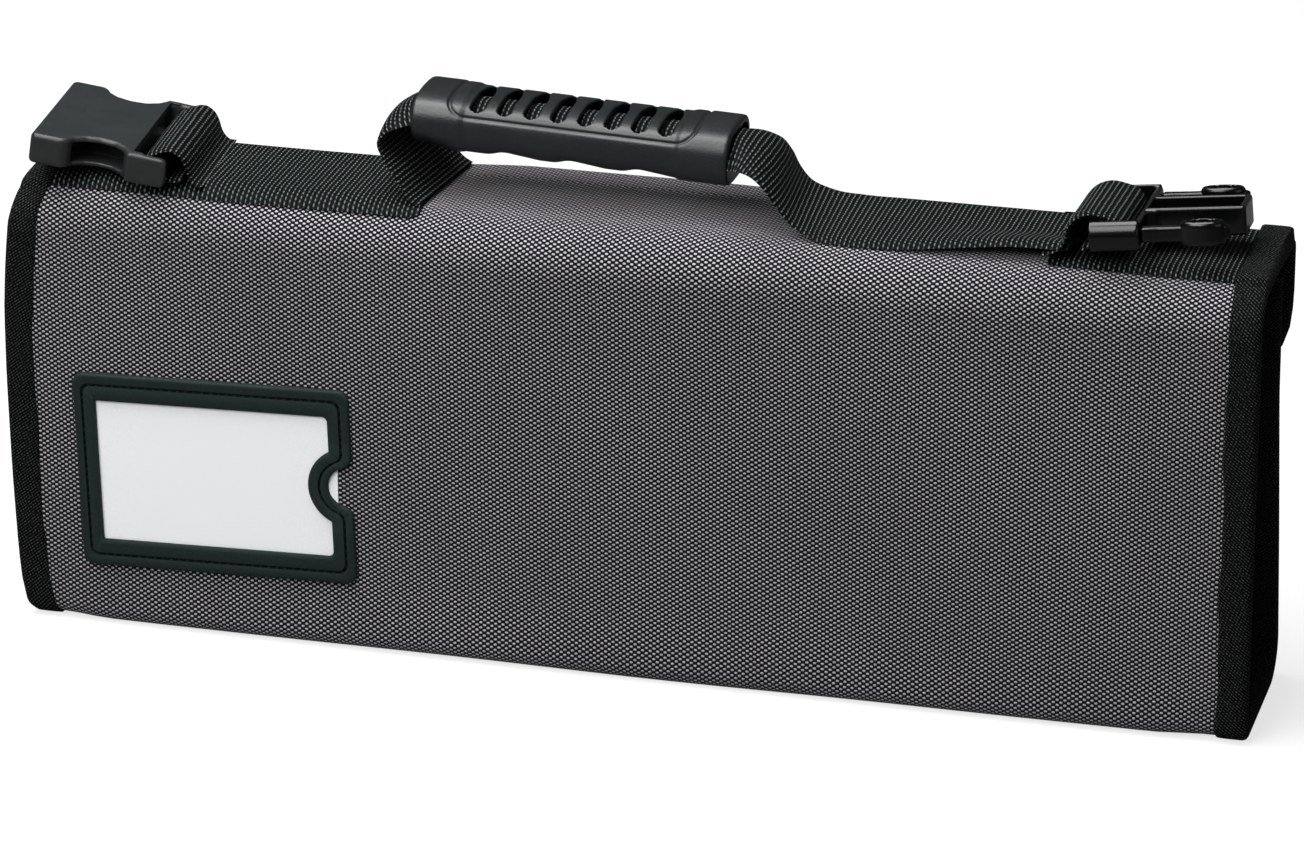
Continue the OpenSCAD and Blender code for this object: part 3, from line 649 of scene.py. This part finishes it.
def handle_webbing():
    left = [
        (-70.4, TOP_Z + 1.1, 24.0, 0.0, 2.8, 0.0),
        (-73.2, TOP_Z + 2.6, 24.0, 0.0, 2.8, 0.0),
        (-76.2, 168.9, 23.3, 0.2, 2.7, 0.0),
        (-80.3, 174.0, 22.5, 0.3, 2.5, 0.0),
        (-85.9, 179.2, 21.0, 0.8, 1.5, 0.0),
        (-89.3, 184.0, 19.5, 1.5, 0.5, 0.0),
        (-88.3, 188.6, 18.0, 2.5, 0.0, 0.0),
        (-84.0, 192.6, 16.0, 4.2, 0.0, 0.0),
        (-78.0, grip_axis(-78) + 4.3, 13.8, 6.6, 0.0, 0.0),
        *in_grip(-71, -40, -20),
    ]
    right = [
        *in_grip(-20, 4, 27),
        (34.0, grip_axis(34) + 4.6, 15.4, 8.0, 0.0, 0.0),
        (39.8, 190.8, 18.8, 6.2, 0.2, 0.0),
        (45.6, 187.0, 20.6, 4.0, 0.2, 0.2),
        (49.2, 180.8, 21.6, 2.0, -0.6, 0.6),
        (51.8, 174.2, 22.6, 0.8, -1.6, 1.3),
        (56.2, 168.2, 23.6, 0.2, -2.2, 1.9),
        (63.0, 164.9, 24.5, 0.0, -1.8, 2.4),
        (73.0, TOP_Z + 1.0, 25.0, 0.0, -0.8, 2.5),
        *((x, TOP_Z + 0.98, 25.0, 0.0, 0.0, 2.5) for x in (88, 110, 132, 153)),
    ]
    obj = ribbon("handle_webbing_left", left, WEB_Y)
    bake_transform(obj)
    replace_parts(obj, "handle_foot_left")
    obj = ribbon("handle_webbing_right", right, WEB_Y, bend=near_lift)
    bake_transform(obj)
    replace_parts(obj, "handle_strap", "handle_foot_right", "webbing_right")


handle_webbing()


def posed(point, *turns):
    """Matrix that turns about the named axes, the last one first, and moves to the point."""
    matrix = Matrix.Translation(Vector(point))
    for angle, axis in turns:
        matrix = matrix @ Matrix.Rotation(angle, 4, axis)
    return matrix


MIRROR = Matrix.Scale(-1, 4, (1, 0, 0))


def buckle_loop(name, bar, matrix, wide, lift, slack):
    """Webbing round a buckle's bar. Its outer arch is widened and lifted, its inner side has slack."""
    foot = WEB_TOP - bar[2]
    curve = [
        (15.4 * wide, foot - 0.9), (12.8 * wide, foot + 0.1), (11.2 * wide, foot + 1.7),
        (10.1 * wide, foot + 4.0), (9.2 * wide, 0.9 + lift), (7.6 * wide, 3.7 + lift),
        (4.6 * wide, 5.6 + lift), (0.6, 5.5 + lift / 2), (-2.6 - slack * 0.8, 4.0), (-3.9 - slack, 0.4),
        (-2.7 - slack * 0.8, -3.1), (0.4, -4.2), (4.5, -4.4), (9.0, foot + 1.5),
    ]
    rows = [(x, z, 24.9 if x > 12 else 24.7, 0, 0, 0) for x, z in curve]
    obj = ribbon(name, rows, 0.0, 0.8, matrix, WEB_TOP - 0.2)
    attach(obj, "lid")
    return obj


female_matrix = posed(FEMALE, (FEMALE_YAW, "Z"))
male_matrix = posed(MALE, (MALE_YAW, "Z"), (-MALE_ROLL, "X")) @ MIRROR
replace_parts(buckle_loop("socket_webbing_loop", FEMALE, female_matrix, 1.0, 1.3, 1.4), "buckle_loop_left")
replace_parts(buckle_loop("plug_webbing_loop", MALE, male_matrix, 1.4, 0.8, 2.0), "buckle_loop_right")


# Moulded parts, made of simple solids that a remesh joins and rounds
def prism(outline, low, high, axis="Z"):
    """Outline drawn out along an axis: Z takes xy points, Y takes xz points, and X takes yz points."""
    n, at = len(outline), "XYZ".index(axis)
    verts = [(*p[:at], level, *p[at:]) for level in (low, high) for p in outline]
    faces = [tuple(range(n)), tuple(range(n, 2 * n))]
    faces += [(i, (i + 1) % n, n + (i + 1) % n, n + i) for i in range(n)]
    return raw_object("part", verts, faces)


def block(x0, x1, y0, y1, z0, z1):
    return prism([(x0, y0), (x1, y0), (x1, y1), (x0, y1)], z0, z1)


def ellipse(cx, rx, cy, ry, count):
    return [(cx + rx * math.cos(a), cy + ry * math.sin(a))
            for a in np.linspace(0, 2 * math.pi, count, endpoint=False)]


def apply_modifiers(obj):
    graph = bpy.context.evaluated_depsgraph_get()
    mesh = bpy.data.meshes.new_from_object(obj.evaluated_get(graph))
    obj.modifiers.clear()
    old = obj.data
    obj.data = mesh
    bpy.data.meshes.remove(old)


def bevelled(obj, width, segments=3):
    modifier = obj.modifiers.new("bevel", "BEVEL")
    modifier.width = width * MM
    modifier.segments = segments
    modifier.limit_method = "ANGLE"
    modifier.angle_limit = math.radians(35)
    apply_modifiers(obj)
    return obj


def cut(obj, *tools):
    for tool in tools:
        modifier = obj.modifiers.new("cut", "BOOLEAN")
        modifier.operation = "DIFFERENCE"
        modifier.solver = "EXACT"
        modifier.object = tool
        apply_modifiers(obj)
        bpy.data.objects.remove(tool)


def in_metres(matrix):
    """The same turns, with the translation changed from millimetres."""
    scaled = matrix.copy()
    scaled.translation = matrix.translation * MM
    return scaled


def moulding(name, solids, slot, matrix, voxel):
    """Joins solids, rounds them, and puts them in place."""
    bm = bmesh.new()
    for solid in solids:
        bm.from_mesh(solid.data)
    mesh = bpy.data.meshes.new(name)
    bm.to_mesh(mesh)
    bm.free()
    for solid in solids:
        bpy.data.objects.remove(solid)
    obj = new_object(name, mesh)
    remesh = obj.modifiers.new("remesh", "REMESH")
    remesh.mode = "VOXEL"
    remesh.voxel_size = voxel * MM
    remesh.use_smooth_shade = True
    relax = obj.modifiers.new("relax", "SMOOTH")
    relax.factor = 0.5
    relax.iterations = 3
    apply_modifiers(obj)
    obj.data.transform(in_metres(matrix))
    if matrix.determinant() < 0:
        obj.data.flip_normals()
    return dress(obj, slot, 70.0)


def buckle_bar():
    radius, half = 2.4, 27
    return prism(ellipse(0, radius, 0, radius, 32), -half, half, axis="Y")


def socket():
    """Female half: a body with a mouth and a waist, and two arms that hold its bar."""
    body_half, mouth_half, arm_in, arm_out = 5.5, 3.6, 25.6, 28.5
    half = [(45.4, 27.0), (44.6, arm_out), (33.6, arm_out), (32.0, 27.0), (30.4, 24.4), (27.0, 21.9),
            (22.0, 20.7), (17.0, 21.3), (13.4, 23.8), (11.2, 27.0), (9.6, arm_out), (4.0, arm_out),
            (4.0, arm_in), (9.0, arm_in)]
    outline = half + [(x, -y) for x, y in reversed(half)]
    body = bevelled(prism(outline, -body_half, body_half), 2.9, 5)
    cut(body, block(12.4, 50, -25.2, 25.2, -mouth_half, mouth_half))
    arm = [(-1.8, 5.2), (-3.2, 3.9), (-3.4, 0.0), (-3.1, -4.2), (-1.8, -5.2), (11.0, -5.3), (11.0, 5.3)]
    arms = [bevelled(prism(arm, *span, axis="Y"), 1.45) for span in ((-arm_out, -arm_in), (arm_in, arm_out))]
    ribs = [block(12.0, 40.0, y - 0.6, y + 0.6, -5.3, -3.0) for y in (-12.0, 12.0)]
    matrix = posed(FEMALE, (FEMALE_YAW, "Z"), (FEMALE_TILT, "Y")) @ MIRROR
    obj = moulding("socket_body", [body, buckle_bar()] + arms + ribs, "buckle_plastic", matrix, 0.42)
    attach(obj, "buckle_socket")
    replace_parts(obj, "female_buckle")


def plug():
    """Male half: bar, cross bar and guide, and two prongs that end in lobes."""
    matrix = posed(MALE, (MALE_YAW, "Z"), (-MALE_ROLL, "X"), (-MALE_TILT, "Y"))
    barrel_half = 5.3
    barrel = [(25.4, barrel_half), (25.4, -barrel_half)]
    barrel += [(25.7 + 3.2 * math.cos(a), barrel_half * math.sin(a)) for a in np.linspace(-1.571, 1.571, 17)]
    knee = [(11.0, 9.0), (11.0, 15.0), (12.0, 11.6), (14.5, 9.4), (18.0, 8.4)]
    corner = [(11.0, 28), (11.0, 17.5), (11.7, 17.5), (11.9, 22.5), (11.6, 28)]
    arms, knees = [], []
    for side in (-1, 1):
        arms.append(bevelled(prism([(side * y, z) for y, z in barrel], -5.4, 11.3, axis="X"), 0.7))
        knees.append(prism([(x, side * y) for x, y in knee], -4.0, 4.1))
        knees.append(prism([(x, side * y) for x, y in corner], -2.9, 2.9))
    cross = bevelled(block(9.3, 11.6, -27.8, 27.8, -4.1, 4.3), 0.8)
    guide = bevelled(block(10.5, 44.8, -9.0, 9.0, -5.1, 5.1), 0.9)
    cut(guide, block(11.6, 42.8, -7.3, 7.3, -3.2, 9.0))
    obj = moulding("plug_frame", [buckle_bar(), cross, guide] + arms + knees, "plug_plastic", matrix, 0.4)
    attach(obj, "buckle_plug")
    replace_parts(obj, "male_buckle")
    root, tip, lobe_x = 11.8, 42.2, 32.6
    for side, word in ((-1, "front"), (1, "rear")):
        y = side * 24.5
        half = [(root, 2.1), (root + 6, 1.7), (39.0, 1.4), (41.5, 0.7)]
        outline = [(x, y - d) for x, d in half] + [(tip, y)] + [(x, y + d) for x, d in reversed(half)]
        beam = bevelled(prism(outline, -2.6, 2.6), 0.9)
        lobe = bevelled(prism(ellipse(lobe_x, 7.6, y, 3.5, 40), -4.4, 4.4), 2.0, 5)
        cut(lobe, prism(ellipse(lobe_x, 5.6, y, 2.1, 32), 1.0, 6.0))
        piece = moulding("plug_prong_" + word, [beam, lobe], "plug_plastic", matrix, 0.36)
        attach(piece, "plug_prong_" + word)
        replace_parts(piece, "prong_" + word)


# Grip: half width of its flat stretch, radius of its round sides, and how far its belly hangs
GRIP_FLAT, GRIP_R, GRIP_BELLY = 7.5, 8.4, 2.8
WAVES, WAVE_HALF, WAVE_DEPTH = (-21.5, 2.0, 26.0), 10.0, 1.7


def grip_ring(x):
    """Section of the grip: collars towards the ends, finger waves, and a belly that fades at the left."""
    rim = 1.6
    collar = 0.6 * float(smooth((abs(x) - 37.2) / rim))
    end = max(0.0, (abs(x) - (GRIP_L / 2 - rim)) / rim)
    r = GRIP_R + collar - 1.0 * (1 - math.sqrt(max(0.0, 1 - end * end)))
    belly = GRIP_BELLY * float(smooth((x + 58) / 22))
    wave = 0.0
    for centre in WAVES:
        d = (x - centre + 1.5 * math.cos(math.pi * min(1.0, abs(x - centre) / WAVE_HALF))) / WAVE_HALF
        if abs(d) < 1:
            wave = WAVE_DEPTH * (math.cos(math.pi * d) + 1) / 2
    ring = []
    for a in np.linspace(0, 2 * math.pi, 72, endpoint=False):
        c, s = math.cos(a), math.sin(a)
        y = GRIP_FLAT * math.sin(math.pi / 2 * max(-1.0, min(1.0, c / 0.75))) + r * c
        low = wave * max(0.0, -s) ** 1.5 - belly * float(smooth(0.5 - 2.0 * s))
        ring.append((x, y, s * r + low))
    return ring


def grip_solid():
    """Grip about its own middle, with a bore for the webbing and slots that narrow to the far side."""
    half, bore_r, slots, pitch = GRIP_L / 2, 6.1, 8, 9.5
    xs = np.concatenate([np.linspace(-half, 2 - half, 7)[:-1], np.linspace(2 - half, half - 2, 109),
                         np.linspace(half - 2, half, 7)[1:]])
    rings = np.array([grip_ring(x) for x in xs])
    body = raw_object("part", rings.reshape(-1, 3), tube(*rings.shape[:2]))
    bore = [(GRIP_FLAT + bore_r * math.cos(a), bore_r * math.sin(a))
            for a in np.linspace(-math.pi / 2, math.pi / 2, 20)]
    cut(body, prism(bore + [(-y, -z) for y, z in bore], -60.0, 60.0, "X"))
    taper = [(2.6, 1.0), (2.3, 3.0), (1.7, 5.5), (1.25, 8.0), (1.05, 11.0), (0.8, 12.6), (0.3, 13.4)]
    near_y, near_r = -11.1, 2.6
    for i in range(slots):
        x = (i - (slots - 1) / 2) * pitch
        outline = [(x + d, y) for d, y in taper] + [(x - d, y) for d, y in reversed(taper)]
        outline += [(x + near_r * math.cos(a), near_y + near_r * math.sin(a))
                    for a in np.radians(np.linspace(180, 360, 12))]
        cut(body, prism(outline, 0.5, 14.0))
    return body


def press_panel(mesh):
    """Presses a shallow panel with a grooved outline into the grip's top and sides."""
    half_x, half_girth, corner, core = 43.5, 16.9, 6.5, 7.3
    co = np.zeros(len(mesh.vertices) * 3)
    mesh.vertices.foreach_get("co", co)
    co = co.reshape(-1, 3) / MM
    x, y, z = np.abs(co[:, 0]), np.abs(co[:, 1]), co[:, 2]
    side = np.clip(y - GRIP_FLAT, 0, None)
    girth = np.where(y < GRIP_FLAT, y, GRIP_FLAT + np.arctan2(side, z) * GRIP_R)
    outside = (np.hypot(side, z) > core) | ((y < GRIP_FLAT) & (np.abs(z) > core))
    qx, qa = x - (half_x - corner), girth - (half_girth - corner)
    distance = np.hypot(np.clip(qx, 0, None), np.clip(qa, 0, None))
    distance = distance + np.minimum(np.maximum(qx, qa), 0) - corner
    depth = 0.75 * np.exp(-((distance / 0.55) ** 2)) + 0.22 * smooth(-distance / 0.8)
    depth = np.where(outside & (z > -6.5) & (girth < 23), depth, 0.0)
    out = np.column_stack([np.zeros(len(co)), np.sign(co[:, 1]) * side, z])
    out /= np.maximum(np.linalg.norm(out, axis=1), 1e-6)[:, None]
    mesh.vertices.foreach_set("co", ((co - out * depth[:, None]) * MM).ravel())


def grip():
    obj = moulding("grip_body", [grip_solid()], "grip_plastic", Matrix.Identity(4), 0.42)
    press_panel(obj.data)
    obj.data.transform(in_metres(posed((GRIP_X, WEB_Y, GRIP_Z), (GRIP_TILT, "Y"))))
    obj.data.update()
    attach(obj, "handle")
    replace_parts(obj, "grip")


socket()
plug()
grip()


# Card holder
def on_front(x, z, height):
    """Point of the turned card frame, from its middle, at a height above the front."""
    c, s = math.cos(FRAME_TURN), math.sin(FRAME_TURN)
    return FRAME_C[0] + c * x - s * z, FRONT_Y - height, FRAME_C[1] + s * x + c * z


def frame_outlines():
    """Outer and inner outlines of the card frame, point for point, with a thumb notch at the right."""
    w, h, r = 50.5, 36.2, 4.0
    iw, ih, bend = 42.5, 26.2, 2.0
    notch, rim, fillet, lip = 7.4, 14.6, 4.2, 1.5
    turn = w - 1.5
    reach = math.sqrt(rim**2 - (turn - iw) ** 2)
    shoulder = math.sqrt((notch + fillet) ** 2 - (turn - w + fillet) ** 2)
    lead = math.atan2(shoulder, w - fillet - turn)
    inner_lead = math.atan2(reach, iw - turn)
    pairs = []

    def edge(count, *ends):
        """Straight stretch: the outer and inner start, then the outer and inner end."""
        o, i, o_end, i_end = np.array(ends, float)
        pairs.extend((o + t * (o_end - o), i + t * (i_end - i)) for t in np.linspace(0, 1, count))

    def corner(sx, sz, first, last):
        """Round corner. The opening's left corners are nearly sharp."""
        back, inner_r = (bend, bend) if sx > 0 else (0.0, -0.3)
        for a in np.radians(np.linspace(first, last, 7)):
            way = np.array([math.cos(a), math.sin(a)])
            pairs.append((np.array([sx * (w - r), sz * (h - r)]) + r * way,
                          np.array([sx * (iw - back), sz * (ih - back)]) + inner_r * way))

    edge(24, (r - w, h), (-iw, ih), (w - r, h), (iw - bend, ih))
    corner(1, 1, 80, 10)
    start = len(pairs)
    edge(8, (w, h - r), (iw, ih - bend), (w, shoulder), (iw, reach + lip))
    for t in np.linspace(0, 1, 6):
        a = t * (lead - math.pi)
        pairs.append((np.array([w - fillet + fillet * math.cos(a), shoulder + fillet * math.sin(a)]),
                      np.array([iw, reach + lip - lip * t])))
    for t in np.linspace(0, 1, 14):
        a, b = (first + t * (math.pi - first) for first in (lead, inner_lead))
        pairs.append((np.array([turn + notch * math.cos(a), notch * math.sin(a)]),
                      np.array([turn + rim * math.cos(b), rim * math.sin(b)])))
    pairs += [(o * (1, -1), i * (1, -1)) for o, i in reversed(pairs[start:-1])]
    corner(1, -1, -10, -80)
    edge(24, (w - r, -h), (iw - bend, -ih), (r - w, -h), (-iw, -ih))
    corner(-1, -1, -100, -170)
    edge(20, (-w, r - h), (-iw, -ih), (-w, h - r), (-iw, ih))
    corner(-1, 1, 170, 100)
    return (np.array(column) for column in zip(*pairs))


def stitches(row):
    """Short rounded stitches along a closed row of points in the frame's groove."""
    closed = np.vstack([row, row[:1]])
    length = lengths(closed)
    count = round(length[-1] / 3.0)
    pitch = length[-1] / count
    shape = ((0.0, 0.12), (0.15, 0.36), (0.5, 0.42), (0.85, 0.36), (1.0, 0.12))
    sides = 8
    verts, faces = [], []
    for k in range(count):
        a, b = (np.array([np.interp(k * pitch + o, length, c) for c in closed.T]) for o in (0.3, pitch - 0.4))
        way = (b - a) / max(1e-6, np.linalg.norm(b - a))
        across = np.array([-way[1], way[0]])
        for share, size in shape:
            for angle in np.linspace(0, 2 * math.pi, sides, endpoint=False):
                p = a + (b - a) * share + across * size * math.cos(angle)
                verts.append(on_front(*p, 1.5 + size * math.sin(angle) * 0.8))
        faces += tube(len(shape), sides, k * len(shape) * sides)
    return dress(raw_object("card_rim_stitches", verts, faces), "thread", 60.0)


def card_frame():
    """Rubber rim with a sewn groove. Its profile gives the share of the way in, and the height."""
    profile = [(0.0, 0.0), (0.0, 1.5), (0.03, 1.95), (0.08, 2.15), (0.14, 2.2), (0.33, 2.2), (0.36, 2.1),
               (0.375, 1.5), (0.42, 1.3), (0.465, 1.5), (0.48, 2.1), (0.51, 2.2), (0.84, 2.2), (0.93, 2.05),
               (1.0, 1.6), (1.0, 1.05)]
    groove, under = 0.42, 1.0
    outer, inner = frame_outlines()
    rings = []
    for o, i in zip(outer, inner):
        ring = [on_front(*(o + (i - o) * share), height) for share, height in profile]
        rings.append(ring + [on_front(*i, under), on_front(*(o + i) / 2, under)])
    rings = np.array(rings)
    rim = raw_object("card_rim", rings.reshape(-1, 3), tube(*rings.shape[:2], closed=True))
    dress(rim, "frame_rubber", 45.0)
    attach(rim, "tray")
    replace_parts(rim, "card_frame")
    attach(stitches(outer + (inner - outer) * groove), "tray")


card_frame()


# Pockets, elastic loops and closure tapes
def on_back(points):
    """Points given as x, distance out from the back panel and height up it, put in place."""
    p = np.asarray(points, float)
    y = BACK_Y + p[..., 1] * math.cos(BACK_LEAN) - p[..., 2] * math.sin(BACK_LEAN)
    z = BACK_Z + p[..., 1] * math.sin(BACK_LEAN) + p[..., 2] * math.cos(BACK_LEAN)
    return np.stack([p[..., 0], y, z], -1)


# For each panel: its pockets' foot, height and rows, its inner face and the way out, placing and body
POCKET_FOOT = 16.0
PANELS = {
    "front": (FLOOR_Z + POCKET_FOOT, CREASE_Z - 3.0 - (FLOOR_Z + POCKET_FOOT), 2,
              FRONT_Y + SHELL_T, 1, np.asarray, "tray"),
    "back": (POCKET_FOOT, BACK_H - 30.0, 3, -SHELL_T, -1, on_back, "back_panel"),
}


def pocket_row(panel, name, slot, x0, x1, gap, closed, node):
    """Cloth that stands off a panel in rows of cells, sewn down between them, and along x0 if closed."""
    z0, height, rows, face, sign, place, body = PANELS[panel]
    seam, thick = 3.0, 1.1
    room = (height - (rows + 1) * seam) / rows
    zs, lift = [], []
    for i in range(rows):
        for t in np.linspace(0, 1, 18, endpoint=False):
            zs.append(i * (room + seam) + t * (room + seam))
            lift.append(gap * max(0.0, 1 - abs(2 * t - 1) ** 7) ** 0.5)
    zs, lift = np.array(zs + [height]), np.array(lift + [0.0])
    rings, uv = [], []
    for x in np.linspace(x0, x1, max(12, int(abs(x1 - x0) / 6))):
        rise = float(smooth(abs(x - x0) / 14)) if closed else 1.0
        hem = 0.5 * float(smooth(1 - abs(x - x1) / 6)) if closed else 0.0
        ripple = 0.35 * np.sin(x / 19 + zs / 11)
        out = np.maximum(lift * rise + ripple * (lift > 0.5), 0.0)
        outer, inner = (np.column_stack([np.full(len(zs), x), face + sign * (out + off), z0 + zs])
                        for off in (thick + hem, 0.05))
        rings.append(np.vstack([outer, inner[::-1]]))
        uv.append(np.column_stack([np.full(2 * len(zs), x), np.concatenate([zs, zs[::-1]])]))
    obj = loft(name, place(np.array(rings)), slot, uv, 60.0)
    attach(obj, body)
    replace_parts(obj, node)


pocket_row("front", "front_blade_pockets", "sleeve_cloth", -203, 52, 6.0, True, "front_sleeves")
pocket_row("front", "front_elastic", "elastic", 113, 151, 13.0, False, "front_loops")
pocket_row("back", "back_blade_pockets", "sleeve_cloth", 203, -52, 6.0, True, "back_sleeves")
pocket_row("back", "back_elastic", "elastic", -151, -113, 13.0, False, "back_loops")


def closure_strip(name, y, sign, z0, place, body, node):
    """Hook or loop tape on a face, with thinner edges."""
    half, pile_h, width = 191.0, 0.95, 12.0
    profile = [(0.0, 0.0), (0.25, 0.6), (0.8, pile_h)]
    profile += [(width - d, h) for d, h in reversed(profile)]
    xs = np.linspace(-half, half, 96)
    rings = np.array([[(x, y + sign * h, z0 + d) for d, h in profile] for x in xs])
    obj = loft(name, place(rings), "fastener_tape", [[(x, d) for d, _ in profile] for x in xs], 50.0)
    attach(obj, body)
    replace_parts(obj, node)


closure_strip("hook_strip", FLAP_Y - FLAP_T, -1, FLAP_Z + 11.0, np.asarray, "flap", "hook_tape")
closure_strip("loop_strip", 0.0, 1, BACK_H - 23.0, on_back, "back_panel", "loop_tape")


# CAD nodes that stay, with their materials
for node, name in (("front_board", "board"), ("bottom_board", "board"), ("spine_board", "board"),
                   ("back_board", "board"), ("flap_board", "board"), ("card_window", "clear_film"),
                   ("id_card", "card_paper")):
    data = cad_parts[node].data
    data.materials.clear()
    data.materials.append(MAT[name])


# Floor, world and lamps
def stage_floor():
    """Floor that the camera sees white and glowing, while other rays find it dark and matt."""
    size, glow_share, seen, unseen = 30.0, 0.72, (0.9, 0.9, 0.9), (0.16, 0.16, 0.16)
    mesh = bpy.data.meshes.new("floor")
    corners = [(-size, -size, 0), (size, -size, 0), (size, size, 0), (-size, size, 0)]
    mesh.from_pydata(corners, [], [(0, 1, 2, 3)])
    floor = new_object("floor", mesh)
    material = bpy.data.materials.new("floor")
    look = Tree(material, "ShaderNodeOutputMaterial")
    camera_ray = look.node("ShaderNodeLightPath").outputs["Is Camera Ray"]
    diffuse = look.node("ShaderNodeBsdfDiffuse", {"Color": look.mix(camera_ray, unseen, seen)})
    glow = look.node("ShaderNodeEmission", {"Strength": 1.0})
    share = look.math("MULTIPLY", camera_ray, glow_share)
    mixed = look.node("ShaderNodeMixShader", {0: share, 1: diffuse.outputs[0], 2: glow.outputs[0]})
    look.put(look.out.inputs[0], mixed.outputs[0])
    mesh.materials.append(material)


def sky():
    """World that is white for the camera and through clear film, and faint as a light."""
    world = bpy.data.worlds.new("world")
    bpy.context.scene.world = world
    look = Tree(world, "ShaderNodeOutputWorld")
    rays = look.node("ShaderNodeLightPath").outputs
    seen = look.math("MAXIMUM", rays["Is Camera Ray"], rays["Is Transmission Ray"])
    strength = look.node("ShaderNodeMapRange", {"Value": seen, "To Min": 0.09, "To Max": 1.0})
    back = look.node("ShaderNodeBackground", {"Color": (1, 1, 1), "Strength": strength.outputs[0]})
    look.put(look.out.inputs[0], back.outputs[0])


def lamps():
    """Square lamps aimed at the case. Columns: name, place and size in metres, power in watts."""
    aim = Vector((0, 0, 0.1))
    for name, place, size, power in (
            ("top_light", (-0.3, -0.1, 1.5), 1.1, 34.0),
            ("front_light", (-0.55, -1.45, 1.45), 1.2, 34.0),
            ("side_light", (1.5, -1.2, 0.7), 0.9, 2.0)):
        data = bpy.data.lights.new(name, "AREA")
        data.size = size
        data.energy = power
        lamp = new_object(name, data)
        lamp.location = place
        lamp.rotation_euler = (aim - Vector(place)).to_track_quat("-Z", "Y").to_euler()


stage_floor()
sky()
lamps()
bpy.context.scene.view_settings.view_transform = "Standard"
